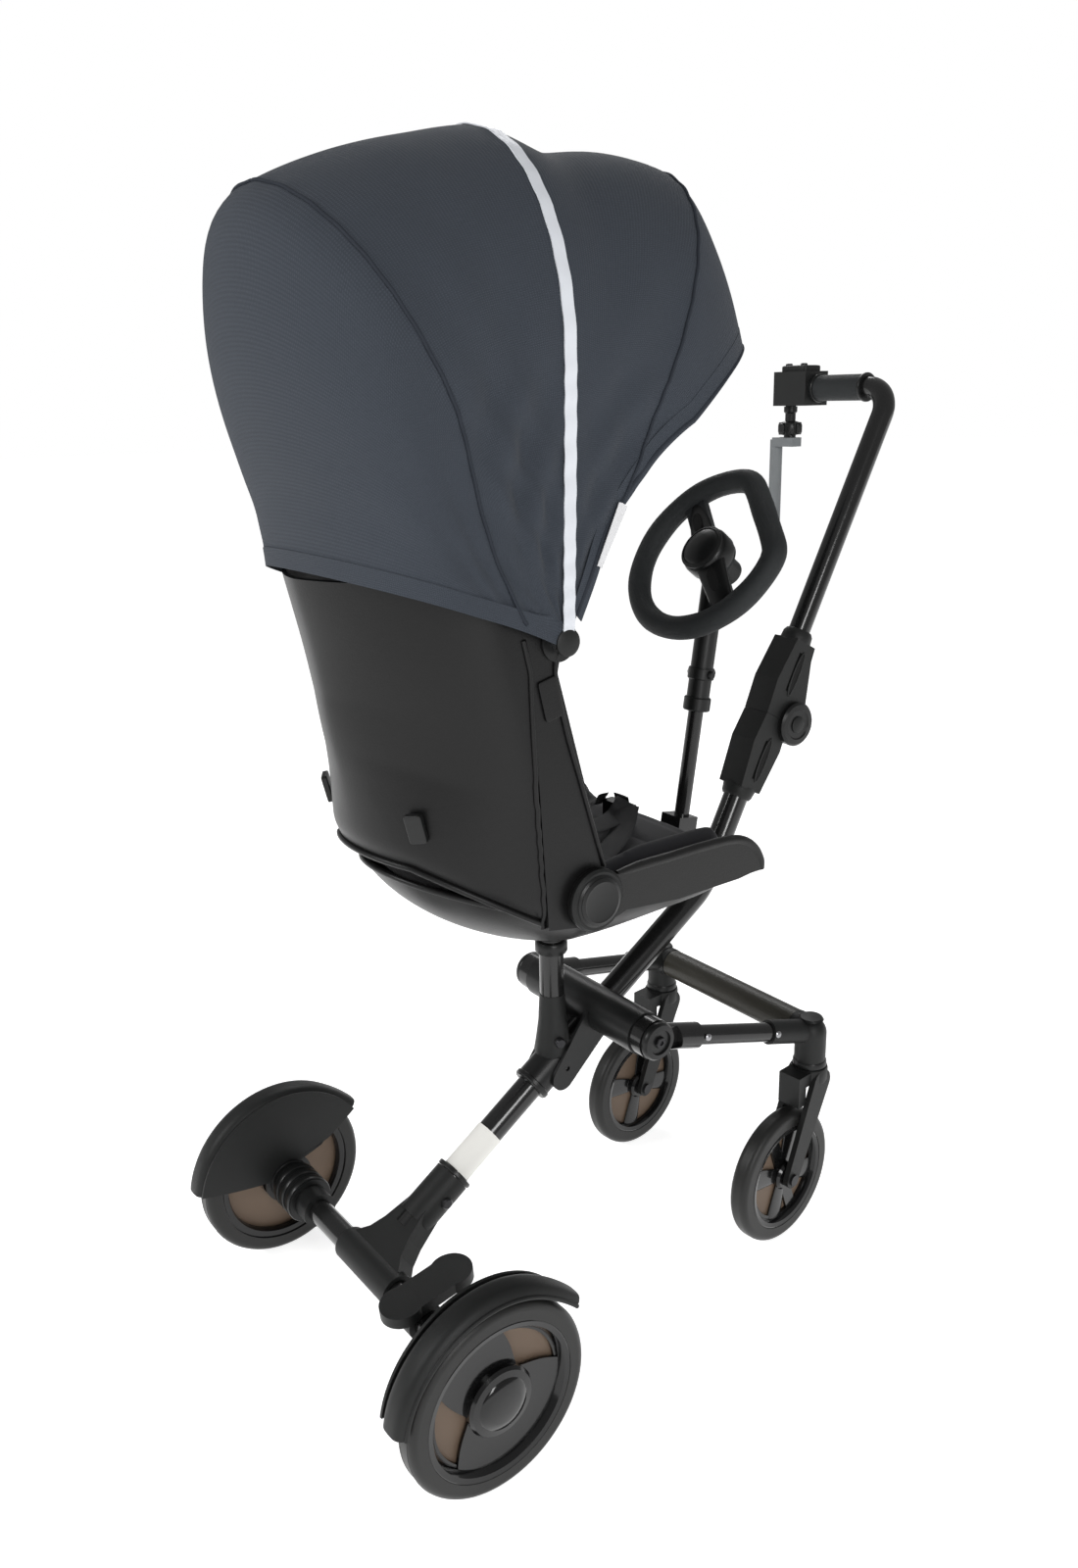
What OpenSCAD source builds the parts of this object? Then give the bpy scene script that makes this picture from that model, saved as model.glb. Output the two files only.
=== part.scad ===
// Light baby stroller: one slanted spine, two fendered main wheels, two castors,
// a swivelling bucket seat with a folding canopy, a toy steering wheel and a one-hand push bar.
// Lengths are in millimetres. X runs across, +Y points to the push bar, Z is up from the floor.

/* [Wheels] */
// Outer radius of a main wheel
wheel_r = 100; // [96:1:102]
// Width of a main tyre
wheel_w = 28; // [26:1:29]
// Distance of a main wheel's middle plane from the centre
wheel_x = 228; // [227:1:232]
// Outer radius of a castor wheel
castor_r = 84; // [82:1:85]
// Width of a castor tyre
castor_w = 24; // [20:1:25]
// Distance of a castor from the centre
castor_x = 134; // [132:1:136]
// How far the castors stand turned on their stems, in degrees
castor_turn = 5.5; // [0:0.5:8]

/* [Frame] */
// Outer radius of the spine tube
spine_r = 15.5; // [14:0.5:15.5]
// Rake of the lower spine, in degrees
spine_rake = 33.4; // [33:0.1:34]
// Rake of the upper spine and of the push bar's pole, in degrees
pole_rake = 61.7; // [61:0.1:62]
// Radius of the push bar's pole
pole_r = 13.5; // [12:0.5:14]
// Length of the push bar's grip, from the pole's middle plane
grip_len = 124; // [110:1:130]

/* [Seat] */
// Half the width of the seat over its arms
seat_hw = 154; // [152:1:156]
// Lean of the backrest from upright, in degrees
back_lean = 13.5; // [12:0.5:14]
// Thickness of the seat cushion
cushion_h = 28; // [20:1:30]

/* [Canopy] */
// Radius of the canopy's wire bows
bow_r = 1.3; // [1:0.1:1.3]
// Thickness of the canopy's cloth panels
cloth_t = 2.5; // [2:0.1:3]

/* [Steering toy] */
// Radius of the toy wheel's rim, to the middle of its foam
steer_r = 98; // [90:1:104]
// Radius of the foam on the rim
steer_foam_r = 13.5; // [10:0.5:14]

/* [Hidden] */

$fn = 64;
gap = 0.1;                 // clearance between touching pieces of one body
run_gap = 0.05;            // radial clearance of a running fit

// Places in the stroller's length and height, as [y, z]
axle = [-250, wheel_r];
hub = [57, 318];
fold = [369, 609];
stem_y = 293;
castor_y = 240;
recline = [-59, 529];
canopy = [-96, 792];
toy_hub = [236, 829.6];
toy_base = [196, 500];
pole_offset = 29.2;        // the pole's middle line stands off the fold pivot by this
grip_z = 1010;

// The row's origin is under the middle of the whole object
fender_r = 114;
fender_end = 170;
clamp_half = 22;
grip_y = fold[0] - pole_offset * sin(pole_rake)
    + (grip_z - fold[1] - pole_offset * cos(pole_rake)) / tan(pole_rake);
y_low = axle[0] + fender_r * cos(fender_end);
y_high = grip_y + clamp_half;
y_shift = -(y_low + y_high) / 2;

function along(p, rake, s) = [p[0] + s * cos(rake), p[1] + s * sin(rake)];
function yz3(p, x = 0) = [x, p[0], p[1]];
// The spine's lower line starts at the axle; the upper one runs at the pole's rake
pole_foot = [fold[0] - pole_offset * sin(pole_rake), fold[1] + pole_offset * cos(pole_rake)];
function knee_s() = (pole_foot[1] - axle[1] - (pole_foot[0] - axle[0]) * tan(pole_rake))
    / (sin(spine_rake) - cos(spine_rake) * tan(pole_rake));
knee = along(axle, spine_rake, knee_s());

module placed() translate([0, y_shift, 0]) children();

// A straight round bar between two points
module bar(p, q, r, fn = $fn) {
    v = q - p;
    translate(p) rotate([0, acos(v[2] / norm(v)), atan2(v[1], v[0])])
        cylinder(r = r, h = norm(v), $fn = fn);
}

// A round bar along X between x0 and x1, at [y, z]
module cross_bar(p, r, x0, x1) translate(yz3(p, x0)) rotate([0, 90, 0]) cylinder(r = r, h = x1 - x0);

// Draws in the side view, where the 2-D axes are the stroller's length and height
module side(x0 = 0, t = 0) translate([x0, 0, 0]) rotate([90, 0, 90])
    if (t > 0) linear_extrude(t) children(); else children();

module both() {
    children();
    mirror([1, 0, 0]) children();
}

module hand(s) mirror([s == "r" ? 1 : 0, 0, 0]) children();

// Two discs joined by their common tangents
module link(p, q, r1, r2) {
    d = norm(q - p);
    a = atan2(q[1] - p[1], q[0] - p[0]);
    b = asin((r1 - r2) / d);
    translate(p) circle(r1);
    translate(q) circle(r2);
    polygon([for (s = [1, -1]) p + r1 * [cos(a + s * (90 - b)), sin(a + s * (90 - b))],
        for (s = [-1, 1]) q + r2 * [cos(a + s * (90 - b)), sin(a + s * (90 - b))]]);
}

module rounded(w, h, r) {
    square([w - 2 * r, h], center = true);
    square([w, h - 2 * r], center = true);
    for (sx = [-1, 1], sy = [-1, 1]) translate([sx * (w / 2 - r), sy * (h / 2 - r)]) circle(r);
}

/* ---- spine and main axle ---- */

bend_r = 70;
bend_a = pole_rake - spine_rake;
bend_t = bend_r * tan(bend_a / 2);
spine_start = 52;          // where the tube ends inside the yoke, from the axle
spine_top = -100;          // where it ends inside the lower fold casting, from the fold pivot
tube_wall = 1.8;

// A straight hollow tube in the side view, from p along the angle a
module side_tube(p, a, len) side() translate([p[0], p[1], 0]) rotate([0, 90, a]) difference() {
    cylinder(r = spine_r, h = len);
    translate([0, 0, -1]) cylinder(r = spine_r - tube_wall, h = len + 2);
}

module spine_tube() color([0.05, 0.05, 0.055]) placed() {
    low_end = knee_s() - bend_t;
    up_len = norm(pole_foot - knee) + spine_top + 20 - bend_t;
    side_tube(along(axle, spine_rake, spine_start), spine_rake, low_end - spine_start);
    side() translate(along(axle, spine_rake, low_end) + bend_r * [-sin(spine_rake), cos(spine_rake)])
        rotate(spine_rake - 90) rotate_extrude(angle = bend_a, $fn = 96) translate([bend_r, 0]) difference() {
            circle(spine_r);
            circle(spine_r - tube_wall);
        }
    side_tube(along(knee, pole_rake, bend_t), pole_rake, up_len);
}

yoke_r = 19;
yoke_hw = 52;
axle_tube_r = 14;
shaft_r = 6;
module axle_yoke() color([0.09, 0.09, 0.095]) placed() difference() {
    union() {
        bar(yz3(along(axle, spine_rake, 66)), yz3(along(axle, spine_rake, 126)), 21);
        cross_bar(axle, yoke_r, -yoke_hw, yoke_hw);
        translate(yz3(axle)) rotate([spine_rake, 0, 0]) translate([0, 0, -13]) linear_extrude(26) polygon([
            [5 - yoke_hw, 3], [7 - yoke_hw, 15], [-33, 28], [-25, 46], [-18, 74], [-12, 98],
            [12, 98], [18, 74], [25, 46], [33, 28], [yoke_hw - 7, 15], [yoke_hw - 5, 3]]);
    }
    bar(yz3(along(axle, spine_rake, spine_start - gap)), yz3(along(axle, spine_rake, 130)), spine_r + gap);
    cross_bar(axle, axle_tube_r + gap, -90, 90);
}

housing_x0 = 125;
module axle_tube() color([0.1, 0.1, 0.1]) placed() difference() {
    cross_bar(axle, axle_tube_r, -housing_x0 + gap, housing_x0 - gap);
    cross_bar(axle, shaft_r + gap, -housing_x0, housing_x0);
}

shaft_end = wheel_x + 10;
module axle_shaft() color([0.55, 0.55, 0.56]) placed() cross_bar(axle, shaft_r, -shaft_end, shaft_end);

cheek_x = 207;
cheek_t = 3;
module axle_housing(s) color([0.07, 0.07, 0.075]) placed() hand(s) difference() {
    union() {
        cross_bar(axle, 20, housing_x0, housing_x0 + 24);
        cross_bar(axle, 26, housing_x0 + 24, housing_x0 + 70);
        cross_bar(axle, 22, housing_x0 + 70, cheek_x - gap);
    }
    cross_bar(axle, shaft_r + gap, housing_x0 - 1, cheek_x + 1);
}

fender_start = 24;
fender_t = 3;
fender_out = 242;
module sector(a0, a1, r) polygon([[0, 0], for (i = [0:12]) let (a = a0 + (a1 - a0) * i / 12) r * [cos(a), sin(a)]]);
module fender(s) color([0.1, 0.1, 0.105]) placed() hand(s) difference() {
    union() {
        side(cheek_x, fender_out - cheek_x) translate(axle) intersection() {
            difference() {
                circle(fender_r, $fn = 120);
                circle(fender_r - fender_t, $fn = 120);
            }
            sector(fender_start, fender_end, 2 * fender_r);
        }
        side(cheek_x, cheek_t) translate(axle) {
            circle(30);
            intersection() {
                circle(fender_r - fender_t / 2, $fn = 120);
                sector(fender_start + 4, fender_end - 2, 2 * fender_r);
                rotate(20) translate([-fender_r, 12]) square([2 * fender_r, fender_r]);
            }
        }
    }
    cross_bar(axle, shaft_r + gap, cheek_x - 1, cheek_x + cheek_t + 1);
}

/* ---- wheels: drawn round Z, then laid along X ---- */

module at_wheel(s) placed() hand(s) translate([wheel_x, axle[0], axle[1]]) rotate([0, 90, 0]) children();

rim_r = 82;
insert_r = 74;
module tyre_shape(r_out, r_in, w) rotate_extrude($fn = 120) {
    k = (r_out - r_in) * 0.5;
    translate([r_in, -w / 2]) square([k, w]);
    intersection() {
        translate([r_in + k - gap, 0]) rounded(2 * k + gap, w, k * 0.9);
        translate([r_in + k - gap, -w / 2]) square([k + gap, w]);
    }
}
module main_tyre(s) color([0.04, 0.04, 0.04]) at_wheel(s) tyre_shape(wheel_r, rim_r + gap, wheel_w);

spoke_band = 27;           // half the width of the broad spoke through the hub
band_angle = 20;
module rim_shape(r, w, hub_r, hub_h, band, hole_r, cap) difference() {
    union() {
        difference() {
            translate([0, 0, -w / 2]) cylinder(r = r, h = w, $fn = 120);
            translate([0, 0, -w / 2 - 1]) cylinder(r = r - 6, h = w + 2, $fn = 120);
        }
        translate([0, 0, 1.2]) linear_extrude(4) difference() {
            circle(r - 5, $fn = 120);
            difference() {
                circle(r - 13, $fn = 120);
                rotate(band_angle) square([3 * r, 2 * band], center = true);
                circle(hub_r + 3);
            }
        }
        translate([0, 0, -hub_h]) cylinder(r = hub_r, h = 2 * hub_h - 1);
        if (cap) translate([0, 0, hub_h - 1.5]) intersection() {
            translate([0, 0, -hub_r * 1.6]) sphere(hub_r * 1.9);
            cylinder(r = hub_r - 2, h = 20);
        }
    }
    translate([0, 0, -40]) cylinder(r = hole_r, h = cap ? 51 : 80);
}
module main_rim(s) color([0.03, 0.03, 0.03]) at_wheel(s)
    rim_shape(rim_r, wheel_w - 4, 30, 12, spoke_band, shaft_r + run_gap, true);

module main_insert(s) color([0.43, 0.33, 0.28]) at_wheel(s) translate([0, 0, -1.2]) difference() {
    cylinder(r = rim_r - 6 - gap, h = 2.2);
    translate([0, 0, -1]) cylinder(r = 30 + gap, h = 5);
}

/* ---- brake pedal: a two-lobed rocker on the axle tube ---- */

pedal_x = 92;
pedal_z = 126;
module brake_pedal() color([0.08, 0.08, 0.085]) placed() {
    difference() {
        cross_bar(axle, 20, pedal_x - 16, pedal_x + 16);
        cross_bar(axle, axle_tube_r + run_gap, pedal_x - 20, pedal_x + 20);
    }
    translate([pedal_x, axle[0] + 12, pedal_z]) rotate([6, 0, 4]) difference() {
        translate([0, 0, -9]) linear_extrude(12) {
            for (s = [-1, 1]) translate([0, s * 32]) circle(23);
            square([41, 64], center = true);
        }
        translate([0, 0, -40]) linear_extrude(37) for (s = [-1, 1]) translate([0, s * 32]) circle(20);
        translate([0, -12, axle[1] - pedal_z]) rotate([0, 90, 0])
            cylinder(r = axle_tube_r + 2, h = 80, center = true);
    }
}

/* ---- middle of the spine: sleeve, seat post, hub ---- */

sleeve_s = [258, 322];
module spine_sleeve() color([0.1, 0.1, 0.105]) placed() difference() {
    bar(yz3(along(axle, spine_rake, sleeve_s[0])), yz3(along(axle, spine_rake, sleeve_s[1])), 21);
    bar(yz3(along(axle, spine_rake, sleeve_s[0] - 1)), yz3(along(axle, spine_rake, sleeve_s[1] + 1)), spine_r + gap);
}

// A blank wrapped band on the spine
label_s = 133;
label_len = 56;
module tube_sleeve_label() color([0.75, 0.74, 0.72]) placed() translate(yz3(along(axle, spine_rake, label_s)))
    rotate([spine_rake - 90, 0, 0]) rotate(-165) rotate_extrude(angle = 150)
    translate([spine_r + gap, 0]) square([0.4, label_len]);

post_r = 14;
post_top = 420;
journal_r = 9;
module seat_post() color([0.06, 0.06, 0.065]) placed() {
    difference() {
        translate([0, 0, 262]) cylinder(r = post_r, h = post_top - 262);
        bar(yz3(along(axle, spine_rake, 200)), yz3(along(axle, spine_rake, 400)), 21 + gap);
    }
    translate([0, 0, post_top]) cylinder(r = journal_r, h = 16);
}

barrel_hx = 95;
pin_r = 6;
module hub_barrel() color([0.08, 0.08, 0.085]) placed() difference() {
    cross_bar(hub, 25, -barrel_hx, barrel_hx);
    cross_bar(hub, pin_r + gap, -barrel_hx - 1, barrel_hx + 1);
    bar(yz3(along(axle, spine_rake, sleeve_s[1])), yz3(along(axle, spine_rake, 420)), spine_r + gap);
}

module hub_plates() color([0.13, 0.13, 0.14]) placed() both() difference() {
    side(21 + gap, 4) difference() {
        link([-4, 252], [44, 306], 15, 22);
        translate(hub) circle(25 + gap);
    }
    cross_bar([2, 262], 3, 20, 40);
}

cap_x = 113;
module hub_pin() color([0.3, 0.3, 0.31]) placed() both() {
    cross_bar(hub, pin_r, 18, cap_x);
    cross_bar(hub, 15, cap_x, cap_x + 3);
}

/* ---- castor frame ---- */

arm_in = yz3(hub, 104);
arm_out = [132, stem_y, 257];
function arm_at(t) = arm_in + t * (arm_out - arm_in);
module castor_frame_tubes() color([0.07, 0.07, 0.075]) placed() {
    both() difference() {
        union() {
            cross_bar(hub, 23, barrel_hx + 0.3, cap_x - 0.2);
            bar(arm_at(0.05), arm_at(0.27), 15);
            bar(arm_at(0.2), arm_at(0.8), 11.5);
        }
        cross_bar(hub, pin_r + run_gap, 80, 130);
        for (x = [barrel_hx + 0.3, cap_x + 40 - 0.2]) translate([x - 40, 0, 300]) cube([40, 90, 60]);
    }
    cross_bar([stem_y, 257], 10, -112, 112);
}

corner_r = 19;
module crossbar_cover() color([0.16, 0.15, 0.13]) placed() difference() {
    cross_bar([stem_y, 257], 18.5, -111, 111);
    cross_bar([stem_y, 257], 10 + gap, -113, 113);
}

stem_r = 7;
corner_low = 214;
module castor_corners() color([0.08, 0.08, 0.085]) placed() both() difference() {
    union() {
        translate([castor_x, stem_y, 257]) sphere(corner_r);
        translate([castor_x, stem_y, corner_low]) cylinder(r = corner_r, h = 257 - corner_low);
        cross_bar([stem_y, 257], corner_r, 112, castor_x);
        bar(arm_at(0.72), arm_at(1), 14.5);
    }
    bar(arm_at(0.6), arm_at(0.8) , 11.5 + gap);
    translate([castor_x, stem_y, corner_low - 1]) cylinder(r = stem_r + run_gap, h = 42);
    cross_bar([stem_y, 257], 10 + gap, 100, 113);
}

leg_in = castor_w / 2 + 2;
leg_t = 7;
fork_top = corner_low - 0.3;
// Turns a castor's parts about its stem
module swivelled(s) {
    stem = [(s == "r" ? -1 : 1) * castor_x, stem_y, 0];
    placed() translate(stem) rotate([0, 0, castor_turn]) translate(-stem) hand(s) children();
}
module castor_fork(s) color([0.07, 0.07, 0.075]) swivelled(s) difference() {
    union() {
        translate([castor_x, stem_y, fork_top - 20]) cylinder(r = 21, h = 20);
        translate([castor_x, stem_y, fork_top - 1]) cylinder(r = stem_r, h = 38);
        for (m = [-1, 1]) side(castor_x + (m > 0 ? leg_in : -leg_in - leg_t), leg_t)
            link([stem_y - 1, fork_top - 17], [castor_y, castor_r], 16, 11);
        translate([castor_x - leg_in - 1, stem_y - 40, fork_top - 17]) cube([2 * leg_in + 2, 54, 16]);
        translate([castor_x - leg_in - 1, stem_y - 40, castor_r * 2 + 5]) cube([2 * leg_in + 2, 14, 34]);
    }
    cross_bar([castor_y, castor_r], 4 + gap, castor_x - 30, castor_x + 30);
}

module castor_pin(s) color([0.4, 0.4, 0.4]) swivelled(s) {
    cross_bar([castor_y, castor_r], 4, castor_x - leg_in - leg_t, castor_x + leg_in + leg_t);
    for (x = [castor_x - leg_in - leg_t - 3, castor_x + leg_in + leg_t])
        cross_bar([castor_y, castor_r], 7, x, x + 3);
}

module at_castor(s) swivelled(s) translate([castor_x, castor_y, castor_r]) rotate([0, 90, 0]) children();
castor_rim_r = 66;
module castor_tyre(s) color([0.06, 0.06, 0.06]) at_castor(s) tyre_shape(castor_r, castor_rim_r + gap, castor_w);
module castor_rim(s) color([0.05, 0.05, 0.05]) at_castor(s)
    rim_shape(castor_rim_r, castor_w - 4, 12, leg_in - 0.5, 8, 4 + run_gap, false);

/* ---- seat ---- */

collar_z = post_top + 0.3;
module swivel_collar() color([0.07, 0.07, 0.075]) placed() difference() {
    translate([0, 0, collar_z]) rotate_extrude()
        polygon([[0, 0], [18, 0], [20, 4], [34, 16], [34, 20], [0, 20]]);
    translate([0, 0, collar_z - 1]) cylinder(r = journal_r + run_gap, h = 18);
}

tub_hw = 137;
tub_front = 178;
deck_z = 498;
pan_z = collar_z + 20;
// The tub's rim: a slanted half oval behind, straight sides and rounded front corners
function rim_half(hw, depth, y0, n = 24) = [for (i = [0:n]) [hw * cos(180 * i / n), y0 - depth * sin(180 * i / n)]];
module tub_body(inset, low) hull() {
    translate([0, -58, 529]) rotate([-18.5, 0, 0]) translate([0, 0, -28]) linear_extrude(1)
        polygon(rim_half(tub_hw - inset, 165 - inset, 0));
    for (s = [-1, 1]) translate([s * (tub_hw - 34), tub_front - 34 , 484]) cylinder(r = 34 - inset, h = deck_z - 484, $fn = 32);
    translate([0, 0, pan_z + low]) cylinder(r = 46 - inset, h = 2, $fn = 32);
}
module seat_tub() color([0.06, 0.06, 0.065]) placed() {
    difference() {
        tub_body(0, 0);
        tub_body(4, 4);
        translate([-200, -64, deck_z - 5]) cube([400, 300, 40]);
    }
    intersection() {
        tub_body(0, 0);
        translate([-200, -64, deck_z - 5]) cube([400, 300, 5]);
    }
}

bolster_top = 560;
module seat_cushion() color([0.12, 0.12, 0.125]) placed() {
    translate([0, 56, deck_z + gap]) linear_extrude(cushion_h) rounded(254, 236, 30);
    both() side(105, 22) polygon([[-40, deck_z + cushion_h], [150, deck_z + cushion_h],
        [156, bolster_top - 16], [140, bolster_top], [60, bolster_top], [-40, bolster_top - 22]]);
}

arm_x = 146.6;
arm_t = seat_hw - arm_x;
module seat_arms() color([0.1, 0.1, 0.1]) placed() both() {
    difference() {
        side(arm_x, arm_t) {
            translate(recline) circle(31);
            polygon([recline + [-4, 28], [-30, 549], [40, 549], [92, 552], [130, 551], [152, 545], [168, 533],
                [176, 518], [178, 503], [158, 503], [140, 501], [52, 501], [-20, 508], recline + [6, -30]]);
        }
    }
    cross_bar(recline, 8, tub_hw, arm_x);
    // The front rail carries the arms on the tub
    translate([tub_hw - 1, 110, 501]) cube([arm_x - tub_hw + 1, 40, 8]);
    translate([tub_hw - 8, 110, deck_z + gap]) cube([10, 40, 2.9]);
}

module recline_caps() color([0.12, 0.12, 0.12]) placed() both() {
    cross_bar(recline, 27, seat_hw + gap, seat_hw + 5);
    translate(yz3(recline, seat_hw + 5)) rotate([0, 90, 0]) cylinder(r1 = 27, r2 = 23, h = 3);
}

module harness_buckle() color([0.05, 0.05, 0.05]) placed() {
    translate([0, 104, deck_z + cushion_h + gap]) {
        translate([-12, -4, 0]) cube([24, 3, 13]);
        translate([-21, -10, 12]) cube([42, 15, 20]);
    }
}

/* ---- backrest, drawn in a leaning frame with its origin on the recline axis ---- */

module leaning() placed() translate(yz3(recline)) rotate([back_lean, 0, 0]) children();
shell_hw = 146;
shell_t = 5;
shell_depth = 132;
shell_v0 = -32;
module half_oval(inset, y_extra = 40) polygon([[shell_hw - inset, y_extra],
    for (p = rim_half(shell_hw - inset, shell_depth - inset, 0, 48)) p, [-shell_hw + inset, y_extra]]);
// The shell's edge in the side view: slanted rim below, seam in front, level top
module shell_side() polygon([[-57, -8], [-12, 240], [-12, 290], [-40, 330], [-200, 352], [-200, 108], [-150, 84]]);
module back_shell() color([0.09, 0.09, 0.095]) leaning() intersection() {
    translate([0, shell_v0, -60]) linear_extrude(460) difference() {
        half_oval(0);
        half_oval(shell_t, 60);
    }
    side(-200, 400) shell_side();
}

flange_t = 6.5;
canopy_local = let (d = canopy - recline)
    [d[0] * cos(back_lean) + d[1] * sin(back_lean), d[1] * cos(back_lean) - d[0] * sin(back_lean)];
module back_flanges() color([0.1, 0.1, 0.105]) leaning() both() difference() {
    side(shell_hw - flange_t, flange_t) difference() {
        union() {
            circle(33);
            polygon([[-57 + gap * 2, -8], [0, -33], [24, 22], [17, 235], [30, 262], [20, 283], [-12 + gap * 2, 288],
                [-12 + gap * 2, 240]]);
            translate(canopy_local) circle(20);
        }
    }
    cross_bar([0, 0], 8 + run_gap, shell_hw - 20, shell_hw + 20);
}

pad_t = 26;
swing_r = 168;             // the tub behind the recline axis stays within this radius
module back_cushion() color([0.13, 0.13, 0.135]) leaning() {
    intersection() {
        translate([0, shell_v0, 0]) linear_extrude(330) difference() {
            half_oval(shell_t + 4, 30);
            half_oval(shell_t + 4 + pad_t, 60);
        }
        side(-200, 400) difference() {
            polygon([[-60, 104], [-6, 104], [-6, 270], [-40, 322], [-200, 344], [-200, 60], [-60, 60]]);
            intersection() {
                circle(swing_r);
                translate([-swing_r - 60, 0]) square(swing_r);
            }
        }
    }
}

module shoulder_straps() color([0.06, 0.06, 0.06]) leaning() both()
    translate([40, shell_v0 - 68, 130]) cube([36, 2.5, 150]);

/* ---- canopy, worked out in planes through its pivot ---- */

// Distance of the canopy's ridge from its pivot, by the plane's angle over the floor
function ridge(a) = lookup(a, [[36, 397], [44, 421], [52, 453], [62, 489], [72, 466], [80, 440], [89, 453],
    [97, 445], [113, 441], [121, 439], [130, 366], [138, 290], [146, 237], [154, 210], [161, 197]]);
// Half width of a bow at the height h over the pivot, and the bow's outline as [x, h]
bow_foot = 161;
bow_belly = 163;
leg_h = 0.54;
function bow_point(r, t, cut = 0) = t < 0.3 || t > 0.7
    ? [(t < 0.5 ? 1 : -1) * (bow_foot - cut + (bow_belly - bow_foot) * sin(90 * min(t, 1 - t) / 0.3)),
        r * leg_h * min(t, 1 - t) / 0.3]
    : [(bow_belly - cut) * cos(180 * (t - 0.3) / 0.4),
        r * leg_h + (r * (1 - leg_h) - cut) * sin(180 * (t - 0.3) / 0.4)];
function canopy_point(a, t, cut) = let (b = bow_point(ridge(a), t, cut))
    [b[0], canopy[0] + b[1] * cos(a), canopy[1] + b[1] * sin(a)];
t_low = 0.03;
arc_n = 26;
// A cloth panel: an outer and an inner grid between the edges a0(t) and a1(t), closed round its border
module panel(a0, a1, a1_side, steps, full_at = 1, power = 2) {
    function edge(t) = a1 + (a1_side - a1) * pow(min(1, abs(2 * t - 1) / full_at), power);
    function grid(cut) = [for (i = [0:steps], j = [0:arc_n])
        let (t = t_low + (1 - 2 * t_low) * j / arc_n) canopy_point(a0 + (edge(t) - a0) * i / steps, t, cut)];
    m = arc_n + 1;
    k = (steps + 1) * m;
    function at(i, j, inner) = i * m + j + (inner ? k : 0);
    faces = concat(
        [for (i = [0:steps - 1], j = [0:arc_n - 1]) [at(i, j, false), at(i, j + 1, false), at(i + 1, j + 1, false), at(i + 1, j, false)]],
        [for (i = [0:steps - 1], j = [0:arc_n - 1]) [at(i, j, true), at(i + 1, j, true), at(i + 1, j + 1, true), at(i, j + 1, true)]],
        [for (j = [0:arc_n - 1]) [at(0, j, false), at(0, j, true), at(0, j + 1, true), at(0, j + 1, false)]],
        [for (j = [0:arc_n - 1]) [at(steps, j, false), at(steps, j + 1, false), at(steps, j + 1, true), at(steps, j, true)]],
        [for (i = [0:steps - 1]) [at(i, 0, false), at(i + 1, 0, false), at(i + 1, 0, true), at(i, 0, true)]],
        [for (i = [0:steps - 1]) [at(i, arc_n, false), at(i, arc_n, true), at(i + 1, arc_n, true), at(i + 1, arc_n, false)]]);
    polyhedron(points = concat(grid(0), grid(cloth_t)), faces = faces);
}

rear_a = 115;
middle_a = 89;
front_a = 63;
module canopy_rear() color([0.2, 0.21, 0.24]) placed() panel(rear_a + 0.3, 159, 151, 9);
module canopy_middle() color([0.22, 0.23, 0.26]) placed() mirror([1, 0, 0]) panel(rear_a - 0.3, middle_a + 0.3, middle_a + 0.3, 4);
module canopy_front() color([0.2, 0.21, 0.24]) placed() mirror([1, 0, 0]) panel(middle_a - 0.3, 40, 65.5, 8, 0.75, 1.16);

pivot_x = [146.1, 148.6, 151.8, 155, 158.2, 160.7];
module canopy_clamps() color([0.09, 0.09, 0.09]) placed() both() {
    cross_bar(canopy, 20, pivot_x[0], pivot_x[1] - 0.2);
    cross_bar(canopy, 5, pivot_x[0], pivot_x[4] + 0.5);
    cross_bar(canopy, 9, pivot_x[4] + 0.2, pivot_x[5]);
}

// A round wire along points of the XZ plane
module wire(path, r, sides = 10) {
    n = len(path) - 1;
    function ring(i) = let (d = path[min(i + 1, n)] - path[max(i - 1, 0)], u = d / norm(d))
        [for (k = [0:sides - 1]) let (c = r * cos(360 * k / sides), w = r * sin(360 * k / sides))
            [path[i][0] + w * u[1], c, path[i][1] - w * u[0]]];
    polyhedron(points = [for (i = [0:n], p = ring(i)) p], faces = concat(
        [[for (k = [sides - 1:-1:0]) k]], [[for (k = [0:sides - 1]) n * sides + k]],
        [for (i = [0:n - 1], k = [0:sides - 1]) let (m = (k + 1) % sides)
            [i * sides + m, (i + 1) * sides + m, (i + 1) * sides + k, i * sides + k]]));
}

// A wire bow in the plane at angle a: an arch of wire between two flat eyes on the pivots
bow_in = 9;                // how far the wire runs inside the cloth
front_bow_in = 15;         // the same where the cloth turns sharply over the front bow
module bow(a, x_eye, bow_in = bow_in) color([0.35, 0.35, 0.36]) placed() translate(yz3(canopy)) rotate([a - 90, 0, 0]) {
    r_top = ridge(a) - bow_in;
    foot = x_eye + 1.2;
    arch = [for (i = [0:48]) let (t = i / 48, e = min(t, 1 - t))
        e < 0.3 ? [(t < 0.5 ? 1 : -1) * (foot + (bow_belly - bow_in - foot) * sin(300 * e)), 7 + (r_top * leg_h - 7) * e / 0.3]
        : [(bow_belly - bow_in) * cos(180 * (t - 0.3) / 0.4), r_top * (leg_h + (1 - leg_h) * sin(180 * (t - 0.3) / 0.4))]];
    wire(arch, bow_r);
    both() difference() {
        translate([x_eye, 0, 0]) rotate([0, 90, 0]) cylinder(r = 10, h = 2.4);
        translate([x_eye - 1, 0, 0]) rotate([0, 90, 0]) cylinder(r = 5 + run_gap, h = 5);
    }
}
module rear_bow() bow(rear_a, pivot_x[1]);
module middle_bow() bow(middle_a, pivot_x[2]);
module front_bow() bow(front_a, pivot_x[3], front_bow_in);

/* ---- steering toy ---- */

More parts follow.
